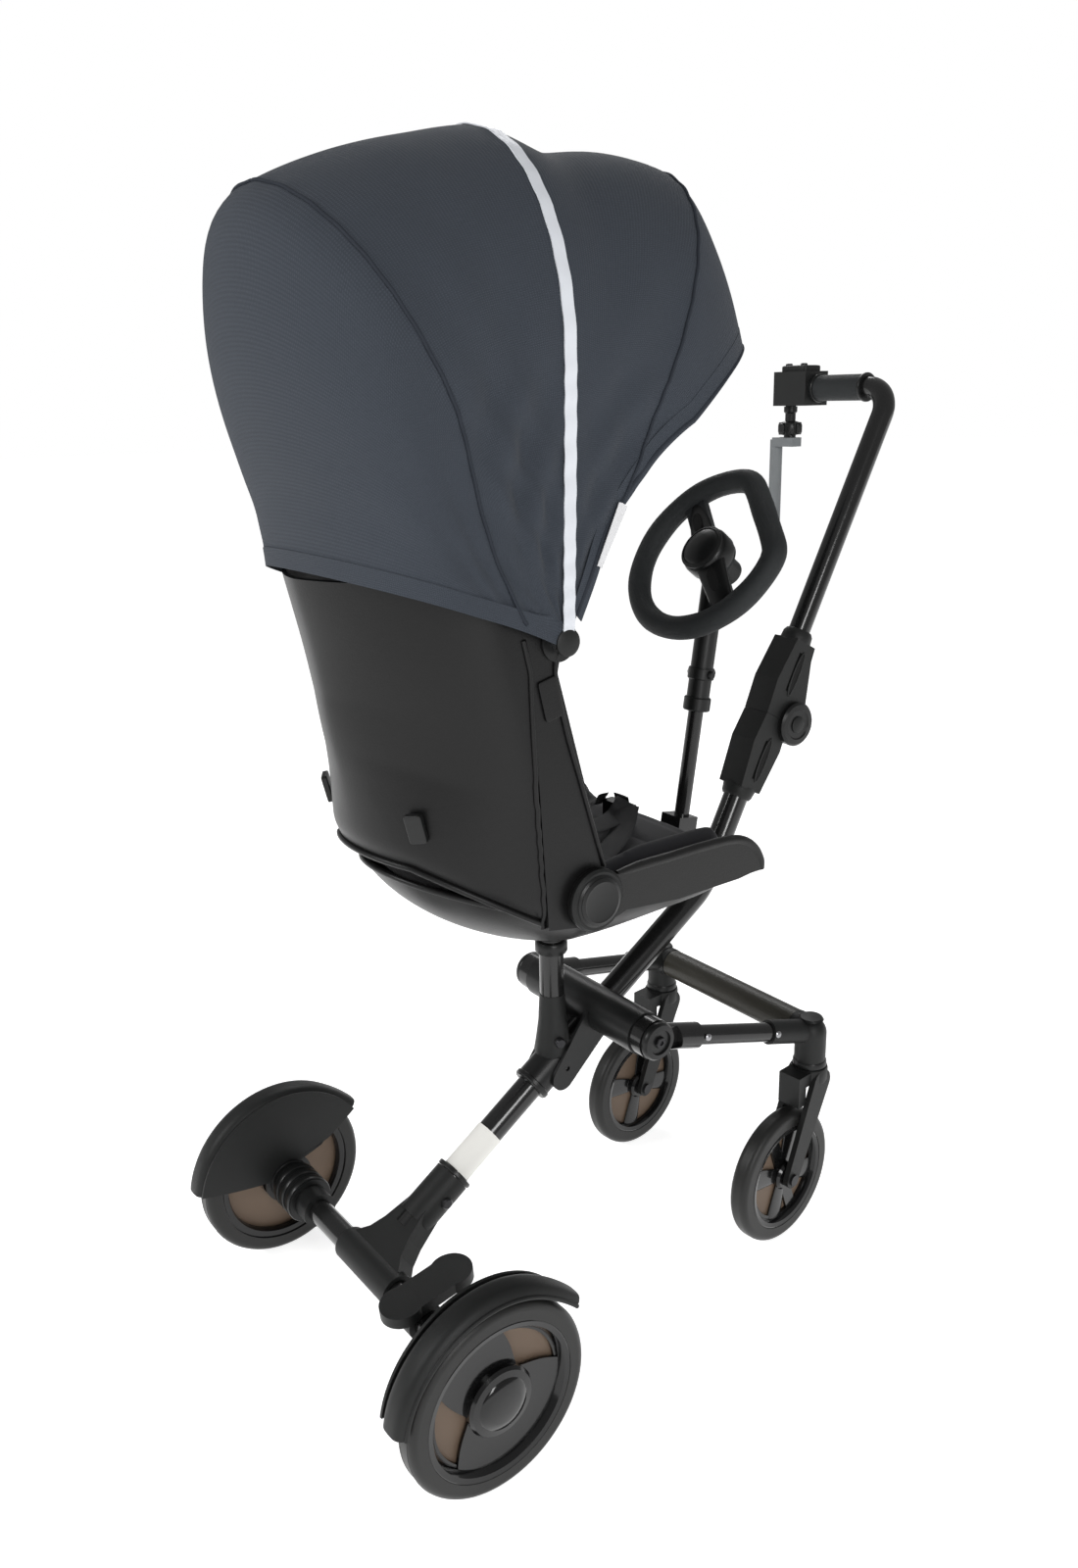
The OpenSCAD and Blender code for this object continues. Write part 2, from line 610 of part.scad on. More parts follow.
toy_rake = 80.5;
toy_tilt = 52.9;
stem_toy_r = 9;
toy_r = 13.5;
module toy_frame(s = 0) placed() translate(yz3(along(toy_base, toy_rake, s))) rotate([toy_rake - 90, 0, 0]) children();
module steer_stem() color([0.06, 0.06, 0.065]) toy_frame() {
    translate([0, 0, -1]) cylinder(r = stem_toy_r, h = 240);
    difference() {
        translate([-16, -17.5, 0]) cube([32, 29, 22]);
        translate([0, 0, -1]) cylinder(r = stem_toy_r - 1, h = 40);
    }
}
module steer_sleeve() color([0.09, 0.09, 0.095]) {
    toy_frame(150) difference() {
        union() {
            cylinder(r = toy_r, h = 150);
            translate([0, 0, 0]) cylinder(r = toy_r + 2, h = 14);
            translate([0, 0, 38]) cylinder(r = toy_r + 1.5, h = 12);
        }
        translate([0, 0, -1]) cylinder(r = stem_toy_r + run_gap, h = 146);
        translate([0, toy_r - 6, 44]) rotate([-90, 0, 0]) cylinder(r = 4 + run_gap, h = 20);
    }
    placed() translate(yz3(toy_hub)) rotate([toy_tilt, 0, 0]) translate([0, 0, -44]) difference() {
        cylinder(r = 15, h = 26);
        translate([0, 0, 10]) cylinder(r = 6 + run_gap, h = 30);
    }
}
module steer_button() color([0.05, 0.05, 0.05]) toy_frame(150)
    translate([0, 12.6, 44]) rotate([-90, 0, 0]) cylinder(r = 4, h = 7.4);

flat_d = 78;               // distance of the rim's flat side from the hub
flat_at = 45;              // where that side points in the wheel's plane
// The rim's radius at the angle a: round, drawn in softly to the flat side
function rim_radius(a) = let (c = cos(a - flat_at))
    c < 0.1 ? steer_r : pow(pow(steer_r, -24) + pow(flat_d / c, -24), -1 / 24);
// A round wire along a closed line in the XY plane
module loop(path, r, sides = 14) {
    n = len(path);
    function ring(i) = let (d = path[(i + 1) % n] - path[(i + n - 1) % n], u = d / norm(d))
        [for (k = [0:sides - 1]) let (w = r * sin(360 * k / sides))
            [path[i][0] + w * u[1], path[i][1] - w * u[0], r * cos(360 * k / sides)]];
    polyhedron(points = [for (i = [0:n - 1], p = ring(i)) p], faces =
        [for (i = [0:n - 1], k = [0:sides - 1]) let (j = (i + 1) % n, m = (k + 1) % sides)
            [i * sides + k, j * sides + k, j * sides + m, i * sides + m]]);
}
module steering_wheel() color([0.13, 0.14, 0.15]) placed() translate(yz3(toy_hub)) rotate([toy_tilt, 0, 0]) {
    loop([for (a = [0:7.5:352.5]) rim_radius(a) * [cos(a), sin(a)]], steer_foam_r);
    for (a = [135, 315]) rotate([0, 0, a]) translate([0, -13, -10]) cube([steer_r - 10, 26, 12]);
    translate([0, 0, -16]) cylinder(r = 27, h = 30);
    translate([0, 0, -32]) cylinder(r = 6, h = 20);
}

/* ---- folding push bar ---- */

// Frame of the fold: origin on its pivot, local Z along the pole, local Y away from the seat
module fold_frame() placed() translate(yz3(fold)) rotate([pole_rake - 90, 0, 0]) children();
lug_r = 27;
lug_hx = 11;
cast_hx = 19;
module fold_body(z0, z1, z_narrow) side(-cast_hx, 2 * cast_hx) hull() {
    translate([-pole_offset, z0]) square([44, 0.1], center = true);
    translate([-pole_offset, z1]) square([36, 0.1], center = true);
    translate([-pole_offset, z_narrow]) square([52, 0.1], center = true);
}
module fold_slots(z0, z1) for (s = [-1, 1]) translate([s * cast_hx - 2, -pole_offset - 6, z0]) cube([4, 7, z1 - z0]);
module fold_casting_lower() color([0.1, 0.1, 0.105]) fold_frame() difference() {
    union() {
        fold_body(-3, -98, -40);
        cross_bar([0, 0], lug_r - 1, -lug_hx + 0.3, lug_hx - 0.3);
        side(-lug_hx + 0.3, 2 * lug_hx - 0.6) polygon([[-pole_offset, -3], [0, -26], [-pole_offset, -70]]);
    }
    cross_bar([0, 0], 8 + run_gap, -30, 30);
    for (s = [-1, 1]) cross_bar([0, 0], lug_r + 0.6, s * (lug_hx + 10) - 10.2, s * (lug_hx + 10) + 10.2);
    translate([0, -pole_offset, -130]) cylinder(r = spine_r + gap, h = 52);
    fold_slots(-84, -34);
}
module fold_casting_upper() color([0.1, 0.1, 0.105]) fold_frame() difference() {
    union() {
        fold_body(-2.5, 96, 40);
        both() cross_bar([0, 0], lug_r, lug_hx, cast_hx + 5);
        both() side(lug_hx, cast_hx - lug_hx) polygon([[-pole_offset, -2.5], [12, 22], [-pole_offset + 20, 80]]);
        both() cross_bar([0, 0], 8, 0, lug_hx + 2);
    }
    cross_bar([0, 0], lug_r, -lug_hx, lug_hx);
    translate([0, -pole_offset, 70]) cylinder(r = pole_r + gap, h = 40);
    fold_slots(32, 82);
    cross_bar([0, 0], 10 + run_gap, cast_hx - 2, cast_hx + 6);
}
module fold_button() color([0.07, 0.07, 0.07]) fold_frame() cross_bar([0, 0], 10, cast_hx + 2, cast_hx + 8);

pole_len = (grip_z - pole_foot[1]) / sin(pole_rake);
elbow_r = 40;
module handle_pole() color([0.05, 0.05, 0.055]) fold_frame() translate([0, -pole_offset, 0]) {
    translate([0, 0, 70 + gap]) cylinder(r = pole_r, h = pole_len - elbow_r - 70 - gap);
    translate([-elbow_r, 0, pole_len - elbow_r]) rotate([90, 0, 0])
        rotate_extrude(angle = 90, $fn = 96) translate([elbow_r, 0]) circle(pole_r);
    translate([-grip_len - 20, 0, pole_len]) rotate([0, 90, 0]) cylinder(r = pole_r, h = grip_len + 20 - elbow_r);
}
grip_r = 16.5;
module handle_grip() color([0.1, 0.1, 0.1]) placed() difference() {
    cross_bar([grip_y, grip_z], grip_r, -grip_len, -elbow_r - 2);
    cross_bar([grip_y, grip_z], pole_r + gap, -grip_len - 1, 0);
}

tube_x = -192;
neck_x = -168;
module umbrella_clamp() color([0.08, 0.08, 0.08]) placed() {
    difference() {
        translate([-grip_len - 56, grip_y - clamp_half, grip_z - clamp_half])
            cube([56 - gap, 2 * clamp_half, 2 * clamp_half]);
        cross_bar([grip_y, grip_z], pole_r + gap, -grip_len - 20 - gap, -grip_len + 5);
    }
    translate([neck_x, grip_y, grip_z - 46]) cylinder(r = 7, h = 46 - clamp_half);
    translate([neck_x, grip_y, grip_z - 52]) {
        cube([30, 12, 16], center = true);
        cube([12, 30, 16], center = true);
    }
    translate([neck_x, grip_y, grip_z - 73]) cylinder(r = 5, h = 14);
}
module umbrella_tube() color([0.45, 0.47, 0.47]) placed() difference() {
    union() {
        translate([tube_x, grip_y, grip_z - 185]) cylinder(r = 8.5, h = 118);
        translate([tube_x, grip_y - 9, grip_z - 76]) cube([neck_x + 13 - tube_x, 18, 12]);
    }
    translate([tube_x, grip_y, grip_z - 190]) cylinder(r = 6.5, h = 130);
    translate([neck_x, grip_y, grip_z - 74]) cylinder(r = 5 + run_gap, h = 20);
}

spine_tube();
axle_yoke();
axle_tube();
axle_shaft();
axle_housing("l");  // axle_housing_l
axle_housing("r");  // axle_housing_r
fender("l");  // fender_l
fender("r");  // fender_r
main_tyre("l");  // main_tyre_l
main_tyre("r");  // main_tyre_r
main_rim("l");  // main_rim_l
main_rim("r");  // main_rim_r
main_insert("l");  // main_insert_l
main_insert("r");  // main_insert_r
brake_pedal();
spine_sleeve();
tube_sleeve_label();
seat_post();
hub_barrel();
hub_plates();
hub_pin();
castor_frame_tubes();
crossbar_cover();
castor_corners();
castor_fork("l");  // castor_fork_l
castor_fork("r");  // castor_fork_r
castor_tyre("l");  // castor_tyre_l
castor_tyre("r");  // castor_tyre_r
castor_rim("l");  // castor_rim_l
castor_rim("r");  // castor_rim_r
castor_pin("l");  // castor_pin_l
castor_pin("r");  // castor_pin_r
swivel_collar();
seat_tub();
seat_cushion();
seat_arms();
recline_caps();
harness_buckle();
back_shell();
back_flanges();
back_cushion();
shoulder_straps();
canopy_clamps();
canopy_rear();
canopy_middle();
canopy_front();
rear_bow();
middle_bow();
front_bow();
steer_stem();
steer_sleeve();
steer_button();
steering_wheel();
fold_casting_lower();
fold_casting_upper();
fold_button();
handle_pole();
handle_grip();
umbrella_clamp();
umbrella_tube();
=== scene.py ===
"""Looks of the light baby stroller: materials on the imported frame, and the soft and trim pieces around it.

Points are worked out in drawing millimetres (the seat post stands at the origin) and set down by build().
"""
import math

import bpy
import numpy as np
from mathutils import Euler, Matrix, Vector


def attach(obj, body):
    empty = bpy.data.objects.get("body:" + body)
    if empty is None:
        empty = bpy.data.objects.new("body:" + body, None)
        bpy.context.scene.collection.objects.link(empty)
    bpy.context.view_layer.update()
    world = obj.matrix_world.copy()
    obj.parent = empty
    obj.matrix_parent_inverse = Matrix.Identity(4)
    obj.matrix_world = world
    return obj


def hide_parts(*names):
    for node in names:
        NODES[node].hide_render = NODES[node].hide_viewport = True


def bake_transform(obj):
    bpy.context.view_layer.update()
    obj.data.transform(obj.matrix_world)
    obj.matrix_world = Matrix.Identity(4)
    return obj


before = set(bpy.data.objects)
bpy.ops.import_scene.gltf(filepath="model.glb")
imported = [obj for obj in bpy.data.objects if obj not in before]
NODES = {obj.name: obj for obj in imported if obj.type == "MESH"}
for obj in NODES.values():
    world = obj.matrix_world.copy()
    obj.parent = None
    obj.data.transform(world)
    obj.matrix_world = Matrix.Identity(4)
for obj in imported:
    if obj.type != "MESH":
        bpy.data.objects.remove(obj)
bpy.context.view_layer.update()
Y_SHIFT = -105.74217
sin, cos, pi = np.sin, np.cos, math.pi

# ---------------------------------------------------------------- camera
AZ, EL, ROLL = (math.radians(a) for a in (53.54, 16.11, -1.17))
back = Vector((math.sin(AZ) * math.cos(EL), -math.cos(AZ) * math.cos(EL), math.sin(EL)))
right = (-back).cross(Vector((0, 0, 1))).normalized()
up = right.cross(-back)
axes = (math.cos(ROLL) * right + math.sin(ROLL) * up, -math.sin(ROLL) * right + math.cos(ROLL) * up, back)
camera = bpy.data.objects.new("camera", bpy.data.cameras.new("camera"))
camera.matrix_world = Matrix.Translation((1.0401, -0.8910, 1.0070)) @ Matrix(axes).transposed().to_4x4()
camera.data.lens, camera.data.sensor_width, camera.data.sensor_fit = 28.7, 36.0, "AUTO"
camera.data.shift_x, camera.data.shift_y = 0.00226, -0.01695
bpy.context.scene.collection.objects.link(camera)
bpy.context.scene.camera = camera


# ---------------------------------------------------------------- materials
def node(tree, kind, **values):
    """A shader node with its sockets or settings given by name."""
    n = tree.nodes.new("ShaderNode" + kind)
    for k, v in values.items():
        if k in n.inputs.keys():
            n.inputs[k].default_value = v
        else:
            setattr(n, k, v)
    return n


def material(name, rgb, rough=0.5, metal=0.0, coat=0.0, scale=40.0, vary=0.12, grain=0.0, grain_scale=900.0,
             cells=False, weave=0.0, pitch=0.0022, sheen=0.0, uneven=0.05, gleam=0.3):
    """Principled surface: colour and roughness drift with a slow noise, relief from fine noise, cells or a weave."""
    m = bpy.data.materials.new(name)
    m.use_nodes = True
    t = m.node_tree
    shader = t.nodes["Principled BSDF"]
    shader.inputs["Metallic"].default_value = metal
    shader.inputs["Coat Weight"].default_value = coat
    shader.inputs["Coat Roughness"].default_value = 0.12
    shader.inputs["Specular IOR Level"].default_value = gleam
    shader.inputs["Sheen Weight"].default_value = sheen
    shader.inputs["Sheen Roughness"].default_value = 0.5
    place = node(t, "TexCoord")
    slow = node(t, "TexNoise", Scale=scale, Detail=4.0)
    t.links.new(place.outputs["Object"], slow.inputs["Vector"])
    mix = node(t, "Mix", data_type="RGBA")
    colours = [s for s in mix.inputs if s.type == "RGBA"]
    colours[0].default_value = (*[c * (1 - vary) for c in rgb], 1)
    colours[1].default_value = (*[min(1, c * (1 + vary)) for c in rgb], 1)
    t.links.new(slow.outputs["Fac"], mix.inputs["Factor"])
    colour = [s for s in mix.outputs if s.type == "RGBA"][0]
    spread = node(t, "MapRange")
    spread.inputs["To Min"].default_value = max(0.03, rough - uneven)
    spread.inputs["To Max"].default_value = min(1, rough + uneven)
    t.links.new(slow.outputs["Fac"], spread.inputs["Value"])
    t.links.new(spread.outputs["Result"], shader.inputs["Roughness"])
    height = None
    if weave:
        waves = []
        for direction in "XY":
            w = node(t, "TexWave", bands_direction=direction, Scale=0.314 / pitch, Distortion=0.6)
            w.inputs["Detail Scale"].default_value = 2.0
            t.links.new(place.outputs["UV"], w.inputs["Vector"])
            waves.append(w)
        over = node(t, "Math", operation="MULTIPLY")
        for i, w in enumerate(waves):
            t.links.new(w.outputs["Fac"], over.inputs[i])
        flecks = node(t, "TexNoise", Scale=1400.0, Detail=2.0)
        t.links.new(place.outputs["Object"], flecks.inputs["Vector"])
        both = node(t, "Math", operation="ADD")
        t.links.new(over.outputs[0], both.inputs[0])
        t.links.new(flecks.outputs["Fac"], both.inputs[1])
        half = node(t, "Math", operation="MULTIPLY")
        half.inputs[1].default_value = 0.5
        t.links.new(both.outputs[0], half.inputs[0])
        tint = node(t, "Mix", data_type="RGBA")
        a, b = [s for s in tint.inputs if s.type == "RGBA"]
        a.default_value = (*[c * (1 - weave) for c in rgb], 1)
        b.default_value = (*[min(1, c * (1 + weave)) for c in rgb], 1)
        t.links.new(half.outputs[0], tint.inputs["Factor"])
        blend = node(t, "Mix", data_type="RGBA")
        blend.inputs["Factor"].default_value = 0.6
        a, b = [s for s in blend.inputs if s.type == "RGBA"]
        t.links.new(colour, a)
        t.links.new([s for s in tint.outputs if s.type == "RGBA"][0], b)
        colour, height = [s for s in blend.outputs if s.type == "RGBA"][0], both.outputs[0]
    elif grain:
        fine = node(t, "TexVoronoi" if cells else "TexNoise", Scale=grain_scale)
        t.links.new(place.outputs["Object"], fine.inputs["Vector"])
        height = fine.outputs["Distance" if cells else "Fac"]
    if height:
        relief = node(t, "Bump", Strength=grain or 0.4, Distance=0.0006)
        t.links.new(height, relief.inputs["Height"])
        t.links.new(relief.outputs["Normal"], shader.inputs["Normal"])
    t.links.new(colour, shader.inputs["Base Color"])
    return m


ENAMEL = material("enamel", (0.008, 0.008, 0.008), 0.2, coat=0.4, grain=0.05, grain_scale=300)
CASTING = material("casting", (0.0125, 0.0130, 0.0128), 0.46, grain=0.3, grain_scale=1300, gleam=0.22)
SATIN = material("satin_plastic", (0.0075, 0.0078, 0.0078), 0.34, grain=0.1, grain_scale=1200)
STEEL = material("pin_steel", (0.32, 0.32, 0.33), 0.3, metal=1.0, grain=0.1, grain_scale=600)
DARK_STEEL = material("dark_steel", (0.03, 0.03, 0.032), 0.35, metal=0.7, grain=0.1, grain_scale=600)
TYRE = material("tyre_rubber", (0.0125, 0.0125, 0.012), 0.42, grain=0.2, grain_scale=1100)
GLOSS = material("rim_gloss", (0.005, 0.005, 0.0052), 0.16, coat=0.3, vary=0.05, uneven=0.03, gleam=0.25)
BROWN = material("disc_brown", (0.125, 0.088, 0.062), 0.5, grain=0.12, grain_scale=700, scale=25, gleam=0.25)
PALE = material("band_grey", (0.84, 0.83, 0.79), 0.6, grain=0.1, grain_scale=700, vary=0.04)
BAR_SKIN = material("bar_leather", (0.030, 0.028, 0.022), 0.38, grain=0.35, grain_scale=520, cells=True)
SKIN = material("shell_leather", (0.0048, 0.0048, 0.0049), 0.38, grain=0.14, grain_scale=600, cells=True, scale=14,
                gleam=0.25)
ARM_SKIN = material("arm_leather", (0.008, 0.008, 0.0078), 0.42, grain=0.3, grain_scale=600, cells=True, scale=18)
PAD = material("pad_fabric", (0.020, 0.020, 0.023), 0.85, weave=0.5, pitch=0.0016, grain=0.4, sheen=0.1)
WEB = material("webbing", (0.010, 0.010, 0.011), 0.7, weave=0.5, pitch=0.0014, grain=0.5)
CLOTH = material("canopy_cloth", (0.041, 0.048, 0.060), 0.82, weave=0.6, pitch=0.0019, grain=0.5, sheen=0.05,
                 scale=10, gleam=0.15)
WELT = material("canopy_welt", (0.024, 0.028, 0.036), 0.8, grain=0.5, grain_scale=1400, gleam=0.15)
TAPE = material("reflective_tape", (0.62, 0.64, 0.68), 0.42, grain=0.3, grain_scale=1800, vary=0.06)
TAG = material("sewn_tag", (0.62, 0.62, 0.63), 0.7, grain=0.3, grain_scale=1500, vary=0.06)
FOAM = material("foam", (0.016, 0.018, 0.019), 0.66, grain=0.6, grain_scale=1600)
HOLDER = material("holder_grey", (0.16, 0.17, 0.175), 0.6, grain=0.2, grain_scale=900)
# painted shade: a near-black matt colour put where slots and sunken grooves would lie in shade
HOLE_SHADE = material("recess_shade", (0.004, 0.004, 0.004), 0.8)

CAD_LOOK = {
    ENAMEL: "spine_tube axle_tube castor_frame_tubes steer_stem handle_pole seat_post",
    CASTING: "axle_yoke fold_casting_lower fold_casting_upper castor_corners castor_fork_l castor_fork_r brake_pedal "
             "fender_l fender_r umbrella_clamp swivel_collar",
    SATIN: "axle_housing_l axle_housing_r spine_sleeve hub_barrel hub_plates recline_caps harness_buckle "
           "canopy_clamps steer_sleeve steer_button fold_button",
    STEEL: "axle_shaft rear_bow middle_bow front_bow",
    DARK_STEEL: "hub_pin castor_pin_l castor_pin_r",
    TYRE: "main_tyre_l main_tyre_r castor_tyre_l castor_tyre_r",
    GLOSS: "main_rim_l main_rim_r castor_rim_l castor_rim_r",
    BROWN: "main_insert_l main_insert_r",
    PALE: "tube_sleeve_label",
    BAR_SKIN: "crossbar_cover",
    ARM_SKIN: "seat_arms",
    SKIN: "back_flanges",
    FOAM: "steering_wheel handle_grip",
    HOLDER: "umbrella_tube",
}
SOFT_EDGE = {"axle_yoke": 2.5, "fold_casting_lower": 3, "fold_casting_upper": 3, "castor_fork_l": 1.5,
             "castor_fork_r": 1.5, "brake_pedal": 1.5, "fender_l": 0.9, "fender_r": 0.9, "umbrella_clamp": 4,
             "seat_arms": 2.4, "back_flanges": 2.2, "recline_caps": 1, "harness_buckle": 2, "hub_barrel": 2,
             "hub_plates": 1, "swivel_collar": 1.5, "axle_housing_l": 1.2, "axle_housing_r": 1.2, "spine_sleeve": 1.5,
             "steer_sleeve": 1, "steering_wheel": 2, "castor_corners": 1.2, "hub_pin": 1.2, "fold_button": 1}
for look, names in CAD_LOOK.items():
    for n in names.split():
        o = NODES[n]
        o.data.materials.clear()
        o.data.materials.append(look)
        if n in SOFT_EDGE:
            b = o.modifiers.new("soft_edge", "BEVEL")
            b.width, b.segments, b.limit_method, b.angle_limit = SOFT_EDGE[n] / 1000, 3, "ANGLE", math.radians(40)


# ---------------------------------------------------------------- mesh helpers
def build(name, points, faces, look, body=None, uv=None, slot=None, replaces=(), sharp=38):
    """Mesh from drawing millimetres; closed forms are turned to face outwards; uv is in metres per vertex."""
    v = np.asarray(points, float).reshape(-1, 3) * 0.001
    v[:, 1] += Y_SHIFT * 0.001
    me = bpy.data.meshes.new(name)
    me.from_pydata(v.tolist(), [], [list(map(int, f)) for f in faces])
    me.update()
    tri = [(f[0], f[i], f[i + 1]) for f in faces for i in range(1, len(f) - 1)]
    a, b, c = (v[[t[i] for t in tri]] - v.mean(0) for i in range(3))
    if (a * np.cross(b, c)).sum() < 0:
        me.flip_normals()
    if uv is not None:
        layer = me.uv_layers.new(name="cloth")
        index = np.zeros(len(me.loops), int)
        me.loops.foreach_get("vertex_index", index)
        layer.data.foreach_set("uv", np.asarray(uv, float)[index].ravel())
    me.polygons.foreach_set("use_smooth", [True] * len(me.polygons))
    me.set_sharp_from_angle(angle=math.radians(sharp))
    me.materials.append(look)
    o = bpy.data.objects.new(name, me)
    bpy.context.scene.collection.objects.link(o)
    if body:
        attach(o, body)
    if replaces:
        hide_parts(*replaces)
    return o


def quads(n, m, wrap_n=False, wrap_m=False):
    """The faces of an n by m point grid, closed round on itself along either way."""
    return [(i * m + j, (i + 1) % n * m + j, (i + 1) % n * m + (j + 1) % m, i * m + (j + 1) % m)
            for i in range(n if wrap_n else n - 1) for j in range(m if wrap_m else m - 1)]


def two_sided(n, m):
    """The faces of two n by m grids, one over the other, joined round their rim."""
    k = n * m
    rim = [(i * m, (i + 1) * m) for i in range(n - 1)] + [((i + 1) * m + m - 1, i * m + m - 1) for i in range(n - 1)]
    rim += [(j + 1, j) for j in range(m - 1)] + [((n - 1) * m + j, (n - 1) * m + j + 1) for j in range(m - 1)]
    faces = quads(n, m) + [tuple(x + k for x in reversed(q)) for q in quads(n, m)]
    return faces + [(b, a, a + k, b + k) for a, b in rim]


def lengths(g):
    """UV of a point grid: the run length along each direction, in metres."""
    n, m, _ = g.shape
    du = np.linalg.norm(np.diff(g, axis=0), axis=2).mean(1)
    dv = np.linalg.norm(np.diff(g, axis=1), axis=2).mean(0)
    u, v = np.concatenate([[0], np.cumsum(du)]), np.concatenate([[0], np.cumsum(dv)])
    return np.stack(np.meshgrid(u, v, indexing="ij"), -1).reshape(-1, 2) * 0.001


def facing(g):
    """Unit normals of a point grid."""
    n = np.cross(np.gradient(g, axis=0), np.gradient(g, axis=1))
    return n / np.maximum(np.linalg.norm(n, axis=2, keepdims=True), 1e-9)


def slab(name, g, t, look, body=None, lift=0.0, **more):
    """A sheet of thickness t mm under the point grid g, raised by lift along the grid's normals, its rim closed."""
    n, m, _ = g.shape
    f = facing(g)
    top, low = g + lift * f, g + (lift - t) * f
    uv = lengths(g)
    return build(name, np.concatenate([top.reshape(-1, 3), low.reshape(-1, 3)]), two_sided(n, m), look, body,
                 np.concatenate([uv, uv]), **more)


def tube(name, path, r, look, body=None, closed=False, sides=14, flat=1.0, hint=(0, 0, 1), **more):
    """A round or flattened band along a path: radius r across the hint direction's side, r * flat along it."""
    p = np.asarray(path, float)
    n = len(p)
    t = (np.roll(p, -1, 0) - np.roll(p, 1, 0)) if closed else np.gradient(p, axis=0)
    t /= np.linalg.norm(t, axis=1, keepdims=True)
    h = np.broadcast_to(np.asarray(hint, float), p.shape)
    a = h - (h * t).sum(1, keepdims=True) * t
    a /= np.maximum(np.linalg.norm(a, axis=1, keepdims=True), 1e-6)
    b = np.cross(t, a)
    r = np.broadcast_to(np.asarray(r, float), (n,))[:, None, None]
    w = np.linspace(0, 2 * pi, sides, endpoint=False)
    g = p[:, None] + r * (b[:, None] * cos(w)[None, :, None] + flat * a[:, None] * sin(w)[None, :, None])
    faces = quads(n, sides, closed, True)
    if not closed:
        faces += [tuple(range(sides)), tuple(range((n - 1) * sides, n * sides))[::-1]]
    return build(name, g, faces, look, body, np.repeat(lengths(g[:, :2])[::2], sides, 0), **more)


def lathe(name, profile, centre, axis, look, body=None, sides=64, **more):
    """A turned form: profile of (radius, height along axis), from the axis round to the axis, about centre."""
    ax = np.asarray(axis, float) / np.linalg.norm(axis)
    u = np.cross(ax, (0, 0, 1) if abs(ax[2]) < 0.9 else (1, 0, 0))
    u /= np.linalg.norm(u)
    v = np.cross(ax, u)
    w = np.linspace(0, 2 * pi, sides, endpoint=False)
    p = np.asarray(profile, float)
    g = np.asarray(centre, float) + p[:, None, :1] * (cos(w)[:, None] * u + sin(w)[:, None] * v) + p[:, None, 1:] * ax
    closed = abs(p[0] - p[-1]).max() < 1e-6
    g = g[:-1] if closed else g
    faces = quads(len(g), sides, closed, True)
    if not closed:
        faces += [tuple(range(sides)), tuple(range((len(g) - 1) * sides, len(g) * sides))[::-1]]
    return build(name, g, faces, look, body, **more)


def block(name, centre, half, look, body=None, round_off=0.22, turn=(0, 0, 0), n=36, **more):
    """A rounded box: a superellipsoid of those half sizes, turned by Euler angles in degrees."""
    u, v = np.meshgrid(np.linspace(-pi / 2, pi / 2, n), np.linspace(-pi, pi, 2 * n, endpoint=False), indexing="ij")

    def squared(x):
        return np.sign(x) * np.abs(x) ** round_off
    g = np.stack([squared(cos(u)) * squared(cos(v)), squared(cos(u)) * squared(sin(v)), squared(sin(u))], -1)
    rot = np.array(Euler([math.radians(a) for a in turn]).to_matrix() if any(turn) else Matrix.Identity(3))
    g = (g * np.asarray(half, float)) @ rot.T + np.asarray(centre, float)
    return build(name, g, quads(n, 2 * n, False, True), look, body, **more)


def smooth_line(points, n=60):
    """A smooth curve through points (Catmull-Rom), as n points."""
    p = np.asarray(points, float)
    q = np.concatenate([[2 * p[0] - p[1]], p, [2 * p[-1] - p[-2]]])
    s = np.linspace(0, len(p) - 1, n)
    i = np.minimum(s.astype(int), len(p) - 2)
    t = (s - i)[:, None]
    a, b, c, d = q[i], q[i + 1], q[i + 2], q[i + 3]
    return 0.5 * (2 * b + (c - a) * t + (2 * a - 5 * b + 4 * c - d) * t**2 + (3 * b - a - 3 * c + d) * t**3)


# ---------------------------------------------------------------- canopy
PIVOT = np.array([0, -96.0, 792.0])
RIDGE = np.array([[36, 397], [44, 421], [52, 453], [62, 489], [72, 466], [80, 440], [89, 453], [97, 445], [113, 441],
                  [121, 439], [130, 366], [138, 290], [146, 237], [154, 210], [161, 197]], float)
FINE_A = np.linspace(36, 161, 251)
KERNEL = np.exp(-(np.arange(-14, 15) * 0.5 / 2.6) ** 2)
FINE_R = np.convolve(np.pad(np.interp(FINE_A, *RIDGE.T), 14, "edge"), KERNEL / KERNEL.sum(), "valid")
REAR_A, MIDDLE_A, FRONT_A, HEM_A = 117.5, 89, 62.5, 159    # angles of the bows and the rear hem, in degrees
FOOT_X, BELLY_X = 161, 163                                 # half widths at the pivots and above the sides
LEG, SIDE = 0.54, 0.3                                      # height and length shares of each nearly straight side
LOW_T = 0.012                                              # where the cloth ends beside a pivot


def canopy(a, t, out=0.0):
    """A point of the cloth at the angle a about the pivots (degrees) and t from 0 to 1 over the arch.

    Each side rises in proportion to t up to SIDE, and half an ellipse closes the arch at the ridge's radius.
    """
    r = np.interp(a, FINE_A, FINE_R) + out
    e = np.minimum(t, 1 - t)
    side = np.where(t < 0.5, 1.0, -1.0)
    k = pi * (t - SIDE) / (1 - 2 * SIDE)
    swell = (BELLY_X - FOOT_X) * sin(0.5 * pi * np.minimum(e, SIDE) / SIDE)
    x = np.where(e < SIDE, side * (FOOT_X + out + swell), (BELLY_X + out) * cos(k))
    h = np.where(e < SIDE, r * LEG * e / SIDE, (r - out) * LEG + ((r - out) * (1 - LEG) + out) * sin(k))
    rad = np.radians(a)
    return np.stack([x, PIVOT[1] + h * cos(rad), PIVOT[2] + h * sin(rad)], -1)


def hem_a(t):
    """The rear hem dips forward at the sides, as a parabola."""
    return HEM_A - 8.2 * (2 * t - 1) ** 2


